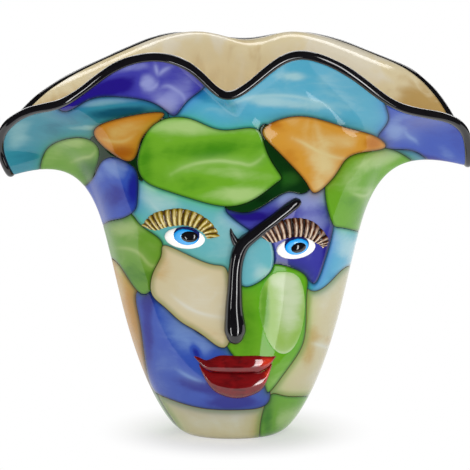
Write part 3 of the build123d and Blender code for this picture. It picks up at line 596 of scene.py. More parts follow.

# How the other tones of a glass follow from its colour, and what the opal's level is made of. Its
# share from the rim's folds paints shade in the valleys and light on the waves.
OPAL_CLOUDS, OPAL_STREAKS, OPAL_FOLD_LIGHT_AND_SHADE, OPAL_PALENESS = 0.9, 0.5, 0.26, 0.35
BLACK_GAIN, BLACK_LIFT = 1.9, 0.004
WHITE_SHADE = 0.86
IRIS_PALENESS = (0.08, 0.12, 0.0)

# The seams between shards. In millimetres, how far the skin's edge is rounded and how far the dark
# glass bleeds in, with its colour. Cream takes on green.
SEAM_ROUNDING = 1.4
SEAM_DARKNESS = 0.88
SEAM_SHADE = 0.25
SEAM_BLEED_WEIGHT = 0.55
SEAM_BLEED = (2.6, "173a18")
CREAM_BLEED = (5.5, "6c8a34")

# The shards that have melted into the one under them, with no dark line round them
MELTED_IN = ("cheek_lime_pale",)

# Where one shard shows through the next, and a shard's own rim: how strongly, how far in
# millimetres, and how pale the colour is
VEIL_STRENGTH, VEIL_REACH, VEIL_PALENESS = 0.75, 3.4, 0.10
RIM_STRENGTH, RIM_REACH, RIM_PALENESS = 0.35, 1.8, 0.15
EDGE_REACH = 14.0
OUTLINE_STEPS = 8

# How softly a glow fades, and how wide the painted highlight along a shard's creases is, its line
# and its veil, in millimetres, with the weight of each
GLOW_FADE = 1.3
CREASE_STEPS = 5
CREASE_LINE, CREASE_VEIL = (0.7, 1.3), (0.3, 4.5)

# The glows of a shard whose own ones can't be seen: their tones, and between which bounds their
# places, sizes, flatness and turn are drawn
HIDDEN_TONES = (0.8, -0.8, 0.5, -0.6, 0.4)
HIDDEN_PLACE, HIDDEN_SIZE, HIDDEN_FLATNESS, HIDDEN_TURN = (
    (0.15, 0.85), (0.18, 0.4), (0.3, 0.6), (-40, 40),
)
HIDDEN_SEED = 7

# How finely the skin, the lining, the bead, the canes, the bands and the eyes are meshed
SKIN_ROWS, SKIN_COLUMNS = 260, 960
SEAT_ROWS, SEAT_COLUMNS = 520, 1440
LINING_ROWS_OUTSIDE, LINING_ROWS_INSIDE, LINING_COLUMNS = 90, 130, 360
LINING_RIM = (0.33, 0.67)
BEAD_ROWS, BEAD_STEPS, BEAD_SIDES = 200, 960, 16
NOSE_STEPS, SPUR_STEPS, CANE_SIDES = 140, 40, 24
LASH_RIBS, LASH_STEPS, LASH_ROWS = 15, 240, 12
LIP_STEPS, LIP_ROWS = 96, 18
DOME_RINGS, DOME_SIDES = 8, 40
DEPTH_BATCH = 4000

# In millimetres, how far a shard's walls stop short of its thickness and the lining's skin lies
# under it, how far a shard of one side runs past the middle plane, and how high a full wave of the
# rim is. It is measured from the rim's mean over one of so many parts of the round, each way.
SHARD_LAP = 0.1
SIDE_LAP = 0.02
FOLD_DEPTH = 16.0
FOLD_PARTS = 7

# How the trims sit: in millimetres, or as shares of the cane's radius
CANE_LIFT = 0.30
CANE_LEAST_RADIUS = 0.2
BAND_SINK = 0.48
BEAD_SINK = 2.5
FACE_BOTTOM, FACE_TOP = 8.0, 215.0

# The bead's uneven radius, as the hand laid it: its mean, and waves of a size, number and start
BEAD_MEAN = 0.985
BEAD_WAVES = ((0.035, 7, 0.4), (0.025, 17, 2.0), (0.015, 41, 1.1))

# How a swelling tapers off at its two ends: where, and how bluntly
COMB_SWELL, COMB_DOME = (0.03, 0.4), (0, 0.45)
LIP_SWELL, LIP_DOME = (0.02, 0.5), (0, 0.55)
CREASE_TAPER = (0.04, 0.5)

# The ribs of the combs: their fan, how far each differs from the next, their furrows, and their
# tones, which paint a highlight along each crown and shade in the furrows
LASH_SLANT, LASH_UPRIGHT = 2.4, 0.45
RIB_HEIGHTS, RIB_SHIFTS = (0.8, 1.1), (-0.12, 0.12)
RIB_BLUNTNESS, RIB_FURROW = 0.7, 0.42
LASH_STROKE, LASH_TOP_TONE = 2.2, 0.7
COMBS = {
    "left": (3, ("46300a", "86700f", "d9c98c"), "amber_glass"),
    "right": (4, ("170a05", "54280f", "cdb8a0"), "brown_glass"),
}

# The lips: how far the lower one reaches up, their tone, the warm glow at the right-hand end with
# its place and reach along and across, and the shade under the upper one
LIP_JOIN = 0.0045
LIP_TONE, LIP_GLOW = 0.34, 0.5
LIP_GLOW_ALONG, LIP_GLOW_ACROSS = (0.86, 0.12), (0.4, 0.4)
LIP_SHADE, LIP_SHADE_FROM = 0.25, 0.9
RUBY_BRIGHT, RUBY_DARK = "c8351c", "3c0408"

# The beads of an eye: half width and half height over the white's, how proud, and the slot
EYE_BEADS = {
    "white": (1.0, 0.54, 3.0, "white_glass"),
    "iris": (0.72, 0.49, 4.6, "blue_glass"),
    "pupil": (0.53, 0.36, 5.7, "black_glass"),
}

# The stage, in metres and watts. The paper ends just in front of the vase, as a table does, and
# its shade fades out between two distances from the middle of the foot.
PAPER = ((-1.6, -0.110), (1.6, 2.4))
PAPER_SHADE_REACH = (0.045, 0.108)
PAPER_LEAST_GLOW = 0.5
AMBIENT_LEVEL = 0.57
GLOSS_DARK = 0.03
BACKDROP_EDGE, BACKDROP_FULL = 0.985, 0.997
SENSOR_WIDTH = 36.0
EYE_DISTANCE = 3.0
EYE_ELEVATION = 9.5
EYE_AIM = (0.0, 0.0, 0.150)
FRAME_WIDTH = 0.353
# Each lamp's place, aim, size, power, and whether the gloss mirrors it
LAMPS = (
    ("right_softbox", (1.08, -1.70, -1.15), (0, 0, 0.15), (0.50, 1.35), 7.0, True),
    ("right_panel", (1.08, -1.70, 0.0), (0, 0, 0.15), (0.42, 2.0), 22.0, True),
    ("back_panel", (0.0, 2.2, 1.05), (0, 0, 0.27), (3.2, 0.7), 22.0, True),
    ("left_strip", (-1.36, -1.46, -1.05), (0, 0, 0.15), (0.22, 1.6), 12.0, True),
    ("front_fill", (0.0, -2.6, 1.1), (0, 0, 0.15), (1.4, 1.0), 11.0, False),
    ("overhead_softbox", (0.0, 0.9, 1.5), (0, 0, 0.2), (1.2, 0.5), 7.0, True),
)
# The lamps that draw their lines on the trims alone, and how the names of the trims start
TRIM_LAMPS = ("left_strip", "right_panel", "back_panel")
TRIM_NAMES = (
    "glass_lip_bead", "glass_nose_and_brow", "glass_left", "glass_right", "glass_upper_lip",
    "glass_lower_lip",
)

# The glass melts, each as its deep, its middle and its light tone
MELTS = {
    "lime": ("429212", "7cbe2e", "bce08a"),
    "lime_pale": ("74b436", "a9d267", "dff0c4"),
    "lime_olive": ("3e821a", "7ab03a", "b4d07c"),
    "amber": ("d07e18", "eba83e", "f6dc9c"),
    "amber_dark": ("b46410", "da922a", "e4be6c"),
    "violet": ("2a1a96", "4a48bc", "a2aaec"),
    "cobalt": ("222aa4", "3f60ce", "86a6ea"),
    "aqua": ("2a9cb4", "7cd0dc", "c4ecf0"),
    "sky": ("2496c8", "66c6ee", "bceafa"),
    "turquoise": ("145f7e", "3f9fb8", "97ccd6"),
    "cream": ("dcae5c", "eedfb6", "f8f3e2"),
    "forest": ("05200c", "0e3c14", "2e6824"),
}

# Which melt a shard is of where its colour word doesn't say it
SHARD_MELTS = {
    "temple_lime_left": "lime_olive",
    "root_lime_left": "lime_olive",
    "base_lime_left": "lime_olive",
    "crown_amber_left": "amber_dark",
    "cheek_lime_pale": "lime_pale",
    "band_aqua_right": "sky",
    "side_aqua_right": "sky",
}
MELT_WORDS = ("forest", "turquoise", "aqua", "violet", "cobalt", "amber", "cream", "lime")
SLOT_OF_MELT = {
    "lime_olive": "lime", "amber_dark": "amber", "lime_pale": "pale_lime", "sky": "aqua",
}


def melt_of(shard):
    """The melt a shard is of: its own entry, or the colour word in its name."""
    return SHARD_MELTS.get(shard) or next(word for word in MELT_WORDS if word in shard)


# ---- numbers ----


def linear(hex_colour):
    """An sRGB hex colour as linear red, green and blue."""
    parts = [int(hex_colour[k : k + 2], 16) / 255 for k in (0, 2, 4)]
    return [c / 12.92 if c <= 0.04045 else ((c + 0.055) / 1.055) ** 2.4 for c in parts]


def around(values, count):
    """A smooth closed curve through evenly spaced knots, at count places."""
    knots = np.asarray(values, float)
    size = len(knots)
    matrix = 4 * np.eye(size) + np.roll(np.eye(size), 1, 0) + np.roll(np.eye(size), -1, 0)
    slopes = np.linalg.solve(matrix, 3 * (np.roll(knots, -1, 0) - np.roll(knots, 1, 0)))
    place = np.linspace(0, size, count, endpoint=False)
    i = place.astype(int) % size
    w = (place - np.floor(place))[:, None]
    j = (i + 1) % size
    return (
        (2 * w**3 - 3 * w**2 + 1) * knots[i]
        + (w**3 - 2 * w**2 + w) * slopes[i]
        + (3 * w**2 - 2 * w**3) * knots[j]
        + (w**3 - w**2) * slopes[j]
    )


def along(knots, values, places):
    """A smooth open curve through values at the given knots, at other places."""
    t, v = np.asarray(knots, float), np.asarray(values, float)
    h = np.diff(t)
    size = len(t)
    matrix = np.zeros((size, size))
    right = np.zeros_like(v)
    matrix[0, 0] = matrix[-1, -1] = 1
    for k in range(1, size - 1):
        matrix[k, k - 1], matrix[k, k], matrix[k, k + 1] = h[k - 1], 2 * (h[k - 1] + h[k]), h[k]
        right[k] = 6 * ((v[k + 1] - v[k]) / h[k] - (v[k] - v[k - 1]) / h[k - 1])
    bend = np.linalg.solve(matrix, right.reshape(size, -1)).reshape(v.shape)
    s = np.asarray(places, float)
    i = np.clip(np.searchsorted(t, s) - 1, 0, size - 2)
    shape = (-1,) + (1,) * (v.ndim - 1)
    a = ((t[i + 1] - s) / h[i]).reshape(shape)
    b = ((s - t[i]) / h[i]).reshape(shape)
    hh = (h[i] ** 2).reshape(shape) / 6
    return a * v[i] + b * v[i + 1] + ((a**3 - a) * bend[i] + (b**3 - b) * bend[i + 1]) * hh


def unit(vectors):
    """The vectors at length one."""
    return vectors / np.maximum(np.linalg.norm(vectors, axis=-1, keepdims=True), 1e-12)


def smooth(x, low, high):
    """A soft step from 0 at low to 1 at high."""
    t = np.clip((x - low) / (high - low), 0, 1)
    return t * t * (3 - 2 * t)


def swelling(t, end, bluntness):
    """How full something is at places from 0 to 1: it tapers off to what it is at its two ends."""
    return np.sin(np.pi * np.clip(t, end, 1 - end)) ** bluntness


def eased(count):
    """Places from 0 to 1 that lie closer together towards both ends."""
    return (1 - np.cos(np.pi * np.arange(count) / (count - 1))) / 2


def nearest(places, starts, ways):
    """For each place and each stretch of a line: how far along its nearest point is, from 0 to 1,
    and how far off."""
    p = places[:, None, :]
    t = np.clip(((p - starts) * ways).sum(2) / (ways**2).sum(1), 0, 1)
    return t, np.sqrt((((starts + t[..., None] * ways) - p) ** 2).sum(2))


# ---- the skin ----


def section_rings(count):
    """The rings that the skin is lofted through: body ovals, then points of the arched staves."""
    table = np.array(RIM_STATIONS, float)
    size = len(table)
    angle = np.radians(table[:, 0])
    rings = []
    for height, width, depth in BODY_SECTIONS:
        x = (BODY_AXIS_SHARE + width * np.cos(angle)) * HALF_WIDTH
        y = depth * HALF_DEPTH * np.sin(angle)
        rings.append(np.stack([x, y, np.full(size, height * HEIGHT)], 1))
    root = rings[-1]
    rim = table[:, 1:4] * [HALF_WIDTH, HALF_DEPTH, HEIGHT]
    slope = np.radians(table[:, 4])[:, None]
    reach = np.linalg.norm(rim - root, axis=1)[:, None]
    out = unit((rim - root) * [1, 1, 0])
    lean = np.stack(
        [SHOULDER_LEAN * np.cos(angle), SHOULDER_LEAN * np.sin(angle), np.ones(size)], 1
    )
    rise = (FRONT_RISE + SIDE_RISE * np.cos(angle)[:, None] ** 2) * reach
    first = root + unit(lean) * rise
    last = rim - (out * np.cos(slope) + np.array([0, 0, 1]) * np.sin(slope)) * LIP_REACH * reach
    for step in range(1, FLARE_STEPS + 1):
        t = step / FLARE_STEPS
        s = 1 - t
        rings.append(root * s**3 + first * 3 * s * s * t + last * 3 * s * t * t + rim * t**3)
    return np.array([around(ring, count) for ring in rings])


def vase_skin(rows, columns, first_ring=0):
    """The skin as a grid of points, foot to rim, with the outward normals."""
    share = 1.0
    rings = section_rings(int(columns * share))[first_ring:]
    steps = np.linalg.norm(np.diff(rings, axis=0), axis=2).mean(1)
    knots = np.concatenate([[0], np.cumsum(steps)])
    points = along(knots, rings, np.linspace(0, knots[-1], int(rows * share)))
    across = np.roll(points, -1, 1) - np.roll(points, 1, 1)
    up = np.gradient(points, axis=0)
    return points, unit(np.cross(across, up))


def sunk(points, normals, depth):
    """The grid sunk into the glass. Its first row stays level, for a flat foot or floor."""
    ways = normals.copy()
    ways[0] = unit(ways[0] * [1, 1, 0])
    return points - ways * depth


def sight_places(points):
    """Where the eye sees points on the upright plane through the axis, in millimetres."""
    return np.stack(
        [points[..., 0], points[..., 2] - np.abs(points[..., 1]) * SIGHT_SLOPE], -1
    )


class Seat:
    """Finds the point of the front skin that is seen at a place of the upright plane."""

    def __init__(self, points, normals):
        seen = sight_places(points)
        front = points[..., 1] < 0
        self.points, self.normals, self.seen = points, normals, seen
        self.index = np.argwhere(front)
        self.places = seen[front]

    def at(self, x, z):
        """The point and the outward normal at a place, both in millimetres."""
        gap = ((self.places - [x, z]) ** 2).sum(1)
        r, c = self.index[gap.argmin()]
        r = min(r, self.points.shape[0] - 2)
        d = (c + 1) % self.points.shape[1]
        base = self.seen[r, c]
        edges = np.stack([self.seen[r, d] - base, self.seen[r + 1, c] - base], 1)
        s, t = np.linalg.solve(edges, np.array([x, z]) - base)
        point = (
            self.points[r, c]
            + s * (self.points[r, d] - self.points[r, c])
            + t * (self.points[r + 1, c] - self.points[r, c])
        )
        return point, self.normals[r, c]


def face_seat():
    """The part of the skin that the face's trims are laid on."""
    points, normals = vase_skin(SEAT_ROWS, SEAT_COLUMNS)
    height = points[:, :, 2].mean(1)
    rows = (height > FACE_BOTTOM) & (height < FACE_TOP)
    return Seat(points[rows], normals[rows])


# ---- meshes ----


def make_mesh(name, points, faces, attributes=None):
    """A mesh object from points in millimetres, with float or colour attributes by point."""
    mesh = bpy.data.meshes.new(name)
    mesh.from_pydata((np.asarray(points) * MM).tolist(), [], faces)
    mesh.validate()
    for key, values in (attributes or {}).items():
        values = np.asarray(values, np.float32)
        if values.ndim == 1:
            layer = mesh.attributes.new(key, "FLOAT", "POINT")
            layer.data.foreach_set("value", values)
        else:
            layer = mesh.attributes.new(key, "FLOAT_COLOR", "POINT")
            colours = np.concatenate([values, np.ones((len(values), 1), np.float32)], 1)
            layer.data.foreach_set("color", colours.ravel())
    mesh.polygons.foreach_set("use_smooth", [True] * len(mesh.polygons))
    mesh.update()
    piece = bpy.data.objects.new(name, mesh)
    bpy.context.scene.collection.objects.link(piece)
    return piece


def set_in_place(piece, material, slot, *nodes):
    """Gives a piece its glass, and lets it ride on the vase in place of its CAD nodes."""
    piece.data.materials.append(material)
    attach(piece, "root")
    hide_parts(*nodes)


def grid_faces(rows, columns, closed=True, offset=0, flip=False):
    """The quads of a grid of points, which may close on itself along its columns."""
    faces = []
    for r in range(rows - 1):
        for c in range(columns if closed else columns - 1):
            d = (c + 1) % columns
            quad = (r * columns + c, r * columns + d, (r + 1) * columns + d, (r + 1) * columns + c)
            quad = tuple(offset + k for k in quad)
            faces.append(quad[::-1] if flip else quad)
    return faces


def end_fans(rows, columns, first, last):
    """The triangles that close both ends of a closed grid, each end round a middle point."""
    top = (rows - 1) * columns
    faces = []
    for c in range(columns):
        d = (c + 1) % columns
        faces += [(first, d, c), (last, top + c, top + d)]
    return faces


def clip_cells(field, data):
    """The cells of a closed grid where field is positive, cut along its zero line.

    Returns the cut data rows, the faces, and the edges along the cut and the grid's ends."""
    rows, columns = field.shape
    flat = field.ravel()
    ids = np.arange(rows * columns).reshape(rows, columns)
    nxt = np.roll(ids, -1, 1)
    corners = np.stack([ids[:-1], nxt[:-1], nxt[1:], ids[1:]], -1).reshape(-1, 4)
    filled = (flat[corners] > 0).sum(1)
    faces = [tuple(cell) for cell in corners[filled == 4].tolist()]
    extra, index, cuts = [], {}, []
    total = rows * columns
    for cell in corners[(filled > 0) & (filled < 4)].tolist():
        ring = []
        for k in range(4):
            a, b = cell[k], cell[(k + 1) % 4]
            if flat[a] > 0:
                ring.append(a)
            if (flat[a] > 0) != (flat[b] > 0):
                key = (min(a, b), max(a, b))
                if key not in index:
                    t = flat[key[0]] / (flat[key[0]] - flat[key[1]])
                    index[key] = total + len(extra)
                    extra.append(data[key[0]] * (1 - t) + data[key[1]] * t)
                ring.append(index[key])
        if len(ring) > 2:
            faces.append(tuple(ring))
            for a, b in zip(ring, ring[1:] + ring[:1]):
                if a >= total and b >= total:
                    cuts.append((a, b))
    data = np.concatenate([data, np.array(extra).reshape(-1, data.shape[1])])
    for end, order in ((0, 1), (rows - 1, -1)):
        for c in range(columns):
            a, b = end * columns + c, end * columns + (c + 1) % columns
            if flat[a] > 0 and flat[b] > 0:
                cuts.append((a, b)[::order])
    used = np.unique(np.concatenate([np.array(f) for f in faces]))
    new = np.full(len(data), -1)
    new[used] = np.arange(len(used))
    faces = [tuple(new[list(f)].tolist()) for f in faces]
    cuts = [(int(new[a]), int(new[b])) for a, b in cuts if new[a] >= 0 and new[b] >= 0]
    return data[used], faces, cuts


# ---- glass ----


def add_node(tree, kind, links=None, stops=None, **settings):
    """Adds a shader node with its settings, its inputs as plain values or as other sockets, and
    the stops of its colour ramp. A colour is given as its red, green and blue. A mixed colour
    has its factor at input 0, the two colours at 6 and 7, and comes out at 2."""
    node = tree.nodes.new(kind)
    for key, value in settings.items():
        setattr(node, key, value)
    for key, value in (links or {}).items():
        if isinstance(value, bpy.types.NodeSocket):
            tree.links.new(value, node.inputs[key])
        elif node.inputs[key].type == "RGBA":
            node.inputs[key].default_value = (*value, 1)
        else:
            node.inputs[key].default_value = value
    if stops:
        ramp = node.color_ramp
        ramp.interpolation = "EASE"
        for _ in stops[2:]:
            ramp.elements.new(0.5)
        for element, (place, colour) in zip(ramp.elements, stops):
            element.position = place
            element.color = (*colour, 1)
    return node


def new_glass(name, roughness, coat=0.0):
    """A new glass material: its node tree, its shader and the object's own coordinates. A coat
    gives it a second, wet gloss."""
    material = bpy.data.materials.new(name)
    material.use_nodes = True
    tree = material.node_tree
    tree.nodes.clear()
    shader = add_node(
        tree,
        "ShaderNodeBsdfPrincipled",
        {
            "Roughness": roughness,
            "IOR": GLASS_IOR,
            "Coat Weight": coat,
            "Coat Roughness": COAT_ROUGHNESS,
        },
    )
    add_node(tree, "ShaderNodeOutputMaterial", {"Surface": shader.outputs["BSDF"]})
    place = add_node(tree, "ShaderNodeTexCoord").outputs["Object"]
    return material, tree, shader, place


def clouds(tree, place, pattern):
    """The soft clouds of a pattern, which may be drawn out along an axis."""
    size, stretch, detail, swirl = PATTERNS[pattern]
    held = add_node(tree, "ShaderNodeMapping", {"Vector": place, "Scale": stretch})
    noise = add_node(
        tree,
        "ShaderNodeTexNoise",
        {
            "Vector": held.outputs["Vector"],
            "Scale": 1 / (size * MM),
            "Detail": detail,
            "Roughness": 0.5,
            "Distortion": swirl,
        },
    )
    return noise.outputs["Fac"]


def mottled(tree, level, cloud, strength, clamped=True):
    """A level that soft clouds raise in one place and lower in another."""
    off = add_node(tree, "ShaderNodeMath", {0: cloud, 1: 0.5}, operation="SUBTRACT")
    links = {0: off.outputs["Value"], 1: strength, 2: level}
    return add_node(
        tree, "ShaderNodeMath", links, operation="MULTIPLY_ADD", use_clamp=clamped
    ).outputs["Value"]


def cased_shard_glass(melt, middle, seam_width):
    """Blown glass of one melt, picked up hot and cased with clear. The clear gather gives it a deep
    even gloss, the stretched melt soft clouds and streaks, and the seams thin dark lines. Its glow
    mark lays lighter and darker patches, partly the melt's own and partly painted highlights and
    painted shade, and painted highlights of its light tone run along its creases."""
    material, tree, shader, place = new_glass("cased_blown_" + melt + "_glass", roughness=0.06)
    deep, light = (linear(MELTS[melt][k]) for k in (0, 2))
    marks = {
        mark: add_node(tree, "ShaderNodeAttribute", attribute_name=mark).outputs
        for mark in ("glow", "crease", "tint", "seam")
    }
    # The glow mark: the melt's own tone with painted highlights and painted shade
    tone = marks["glow"]["Fac"]
    for pattern, strength in MELT_CLOUD_STRENGTHS.items():
        tone = mottled(tree, tone, clouds(tree, place, pattern), strength, clamped=False)
    level = add_node(
        tree, "ShaderNodeMath", {0: tone, 1: 0.5, 2: 0.5}, operation="MULTIPLY_ADD", use_clamp=True
    )
    stops = list(zip(TONE_PLACES["melt"], (deep, middle, light)))
    tones = add_node(tree, "ShaderNodeValToRGB", {"Fac": level.outputs["Value"]}, stops)
    colour = tones.outputs["Color"]
    # Painted highlights of the light tone along the creases go on first
    layers = [
        ("MIX", marks["crease"]["Fac"], light),
        ("MULTIPLY", 1.0, marks["tint"]["Color"]),
    ]
    bleed_reach, bleed_colour = CREAM_BLEED if melt == "cream" else SEAM_BLEED
    for reach, darkness, dark in (
        (bleed_reach, SEAM_BLEED_WEIGHT, linear(bleed_colour)),
        (seam_width, SEAM_DARKNESS, [c * SEAM_SHADE for c in deep]),
    ):
        near = add_node(
            tree,
            "ShaderNodeMapRange",
            {"Value": marks["seam"]["Fac"], "From Max": reach, "To Min": darkness, "To Max": 0.0},
            interpolation_type="SMOOTHSTEP",
        )
        layers.append(("MIX", near.outputs["Result"], dark))
    for blend, factor, layer in layers:
        links = {0: factor, 6: colour, 7: layer}
        laid = add_node(tree, "ShaderNodeMix", links, data_type="RGBA", blend_type=blend)
        colour = laid.outputs[2]
    tree.links.new(colour, shader.inputs["Base Color"])
    waves = clouds(tree, place, "surface_waves")
    links = {"Height": waves, "Strength": WAVE_STRENGTH, "Distance": WAVE_HEIGHT * MM}
    bump = add_node(tree, "ShaderNodeBump", links)
    tree.links.new(bump.outputs["Normal"], shader.inputs["Normal"])
    return material


def opal_lining_glass(cream, ochre):
    """Opal glass, blown as the inner gather. It is milky and mottled with ochre, and painted shade
    darkens it towards ochre in the rim's valleys, with painted light paling it on the waves.
    """
    material, tree, shader, place = new_glass("blown_opal_glass", roughness=0.12)
    wide = clouds(tree, place, "opal_clouds")
    level = add_node(tree, "ShaderNodeMath", {0: wide, 1: OPAL_CLOUDS}, operation="MULTIPLY")
    streaks = clouds(tree, place, "opal_streaks")
    fold = add_node(tree, "ShaderNodeAttribute", attribute_name="fold").outputs["Fac"]
    for part, weight in ((streaks, OPAL_STREAKS), (fold, OPAL_FOLD_LIGHT_AND_SHADE)):
        links = {0: part, 1: weight, 2: level.outputs["Value"]}
        level = add_node(tree, "ShaderNodeMath", links, operation="MULTIPLY_ADD")
    pale = [c + (1 - c) * OPAL_PALENESS for c in cream]
    stops = list(zip(TONE_PLACES["opal"], (pale, cream, ochre)))
    tones = add_node(tree, "ShaderNodeValToRGB", {"Fac": level.outputs["Value"]}, stops)
    tree.links.new(tones.outputs["Color"], shader.inputs["Base Color"])
    return material


def hot_laid_black_glass(black):
    """Black glass, trailed on hot and fire-polished: almost black, with a wet mirror gloss."""
    material, tree, shader, place = new_glass("trailed_black_glass", roughness=0.07, coat=0.5)
    violet = [min(1.0, c * BLACK_GAIN + BLACK_LIFT) for c in black]
    links = {0: clouds(tree, place, "black_clouds"), 6: black, 7: violet}
    tones = add_node(tree, "ShaderNodeMix", links, data_type="RGBA")
    tree.links.new(tones.outputs[2], shader.inputs["Base Color"])
    return material


def pressed_white_glass(white):
    """White opal glass, pressed as a bead: plain, milky and glossy."""
    material, tree, shader, place = new_glass("pressed_white_glass", roughness=0.08)
    shade = [c * WHITE_SHADE for c in white]
    links = {0: clouds(tree, place, "white_clouds"), 6: white, 7: shade}
    tones = add_node(tree, "ShaderNodeMix", links, data_type="RGBA")
    tree.links.new(tones.outputs[2], shader.inputs["Base Color"])
    return material


def marked_glass(name, tones, places, mark, pattern, strength, roughness, coat=0.0):
    """Glass whose tone follows a mark that the mesh carries, a little mottled."""
    material, tree, shader, place = new_glass(name, roughness, coat)
    level = add_node(tree, "ShaderNodeAttribute", attribute_name=mark).outputs["Fac"]
    level = mottled(tree, level, clouds(tree, place, pattern), strength)
    stops = list(zip(TONE_PLACES[places], tones))
    colour = add_node(tree, "ShaderNodeValToRGB", {"Fac": level}, stops).outputs["Color"]
    tree.links.new(colour, shader.inputs["Base Color"])
    return material


def combed_glass(name, tones):
    """Amber glass pressed with a comb, a little mottled: painted shade makes it deep and dark in
    the furrows, and painted highlights make it milky gold on the ribs.
    """
    return marked_glass(
        name, tones, "comb", "rib", "comb_grain", strength=0.55, roughness=0.09
    )


def tooled_ruby_glass(red, bright, dark):
    """Ruby glass, laid on hot and tooled: a deep red with an orange glow where it is thin, under
    a wet gloss. Painted shade darkens the upper lip along its lower edge."""
    tones = (dark, red, bright)
    return marked_glass(
        "tooled_ruby_glass", tones, "ruby", "warm", "ruby_streaks",
        strength=0.6, roughness=0.08, coat=0.6,
    )


def pressed_iris_glass(blue, rim):
    """Blue glass bead with a navy thread round it, which spread a little as it was pressed."""
    tones = ([c + (1 - c) * p for c, p in zip(blue, IRIS_PALENESS)], blue, rim)
    return marked_glass(
        "pressed_iris_glass", tones, "iris", "out", "iris_grain", strength=0.12, roughness=0.08
    )


# ---- settings a user would change ----


def length(label, text, size_mm):
    """A length setting, with its default in millimetres."""
    return bpy.props.FloatProperty(
        name=label, description=text, default=size_mm * MM, min=0.0, unit="LENGTH", precision=5
    )


def colour_setting(label, text, hex_colour):
    """A colour setting, with its default as an sRGB hex value."""
    return bpy.props.FloatVectorProperty(
        name=label, description=text, default=linear(hex_colour), size=3, min=0.0, max=1.0,
        subtype="COLOR",
    )


class VaseSizes(bpy.types.PropertyGroup):
    """Sizes of the trims that are laid on the vase."""

    bead_radius: length("Lip bead radius", "Radius of the black thread on the rim", 3.4)
    nose_radius: length("Nose radius", "Radius of the black trail at the nose's tip", 8.2)
    comb_rise: length("Lash height", "How far the lash combs stand out of the face", 3.6)
    upper_lip_rise: length("Upper lip height", "How far the upper lip stands out", 4.4)
    lower_lip_rise: length("Lower lip height", "How far the lower lip stands out", 5.4)
    eye_width: length("Eye width", "Width of each white bead", 30.5)
    seam_width: length("Seam width", "Half width of the dark line between two shards", 0.75)
    seam_depth: length("Seam depth", "How far the skin dips at a seam", 0.14)


class VaseColours(bpy.types.PropertyGroup):
    """Colours of the melts that the vase is blown from."""

    opal: colour_setting("Opal", "The milky lining", "f4e4ba")
    # Ochre is the lining's dark tone, also the painted shade in the rim's valleys
    ochre: colour_setting("Ochre", "What gathers in the lining's folds", "d0ac6a")
    black: colour_setting("Black", "Lip bead, nose, brow and pupils", "060508")
    ruby: colour_setting("Ruby", "The lips", "720a0e")
    iris: colour_setting("Iris", "The blue beads of the eyes", "129aea")
    iris_rim: colour_setting("Iris rim", "The dark ring round each iris", "101c5c")
    white: colour_setting("White", "The white beads of the eyes", "faf9f5")
    floor: colour_setting("Floor", "The floor under the vase", "f4f4f4")


for melt, tones in MELTS.items():
    VaseColours.__annotations__[melt] = colour_setting(
        melt.replace("_", " ").capitalize(), "Middle tone of the shards of this melt", tones[1]
    )


# ---- the pieces ----


def inside_depth(places, outline):
    """How deep places lie inside an outline, in millimetres, and negative outside it."""
    a, b = outline, np.roll(outline, -1, 0)
    way = b - a
    depth = np.empty(len(places))
    for start in range(0, len(places), DEPTH_BATCH):
        batch = places[start : start + DEPTH_BATCH]
        gap = nearest(batch, a, way)[1].min(1)
        x, z = batch[:, None, 0], batch[:, None, 1]
        spans = (a[:, 1] > z) != (b[:, 1] > z)
        cross = a[:, 0] + (z - a[:, 1]) / np.where(way[:, 1] == 0, 1e-9, way[:, 1]) * way[:, 0]
        odd = (spans & (x < cross)).sum(1) % 2 == 1
        depth[start : start + DEPTH_BATCH] = np.where(odd, gap, -gap)
    return depth


def boxed_depth(places, outline):
    """How deep places lie inside an outline. Far from it they only get the reach of its edge."""
    low = outline.min(0) - EDGE_REACH
    high = outline.max(0) + EDGE_REACH
    near = ((places > low) & (places < high)).all(1)
    depth = np.full(len(places), -EDGE_REACH)
    if near.any():
        depth[near] = inside_depth(places[near], outline)
    return depth


def tone_and_light_at(places, glows):
    """How much lighter or darker the colour is at places, from soft oval clouds. They hold the
    melt's own tone and, where listed, painted highlights and painted shade.
    """
    total = np.zeros(len(places))
    for x, z, wide, high, turn, amount in glows:
        c, s = np.cos(np.radians(turn)), np.sin(np.radians(turn))
        dx, dz = places[:, 0] - x, places[:, 1] - z
        u = (dx * c + dz * s) / wide
        v = (-dx * s + dz * c) / high
        total += amount * np.exp(-((u * u + v * v) ** GLOW_FADE))
    return total


def crease_highlight_at(places, lines):
    """How bright the painted highlight along a shard's creases is at places: a thin bright line
    with a soft veil beside it.
    """
    pale = np.zeros(len(places))
    for line in lines:
        knots = np.array(line, float)
        if len(knots) > 2:
            steps = np.linspace(0, len(knots) - 1, len(knots) * CREASE_STEPS)
            knots = along(np.arange(len(knots)), knots, steps)
        way = np.diff(knots, axis=0)
        t, gap = nearest(places, knots[:-1], way)
        best = gap.argmin(1)
        run = (best + t[np.arange(len(t)), best]) / len(way)
        shine = sum(
            weight * np.exp(-((gap.min(1) / reach) ** 2))
            for weight, reach in (CREASE_LINE, CREASE_VEIL)
        )
        pale = np.maximum(pale, swelling(run, *CREASE_TAPER) * shine)
    return pale


def random_glows(draw, outline):
    """Soft clouds for a shard whose own ones can't be seen."""
    low, high = outline.min(0), outline.max(0)
    glows = []
    for tone in HIDDEN_TONES:
        x, z = low + (high - low) * draw.uniform(*HIDDEN_PLACE, 2)
        size = (high - low).min() * draw.uniform(*HIDDEN_SIZE)
        flat = size * draw.uniform(*HIDDEN_FLATNESS)
        glows.append((x, z, size, flat, draw.uniform(*HIDDEN_TURN), tone))
    return glows


def filtered(tint, tone, paleness, strength, gap, reach):
    """The tint with a melt's tone laid over it, which fades as the gap to the melt grows."""
    colour = np.array(linear(tone)) + paleness
    weight = strength * np.exp(-np.clip(gap, 0, None) / reach)
    return tint * (1 - weight[:, None] * (1 - colour / colour.max()))


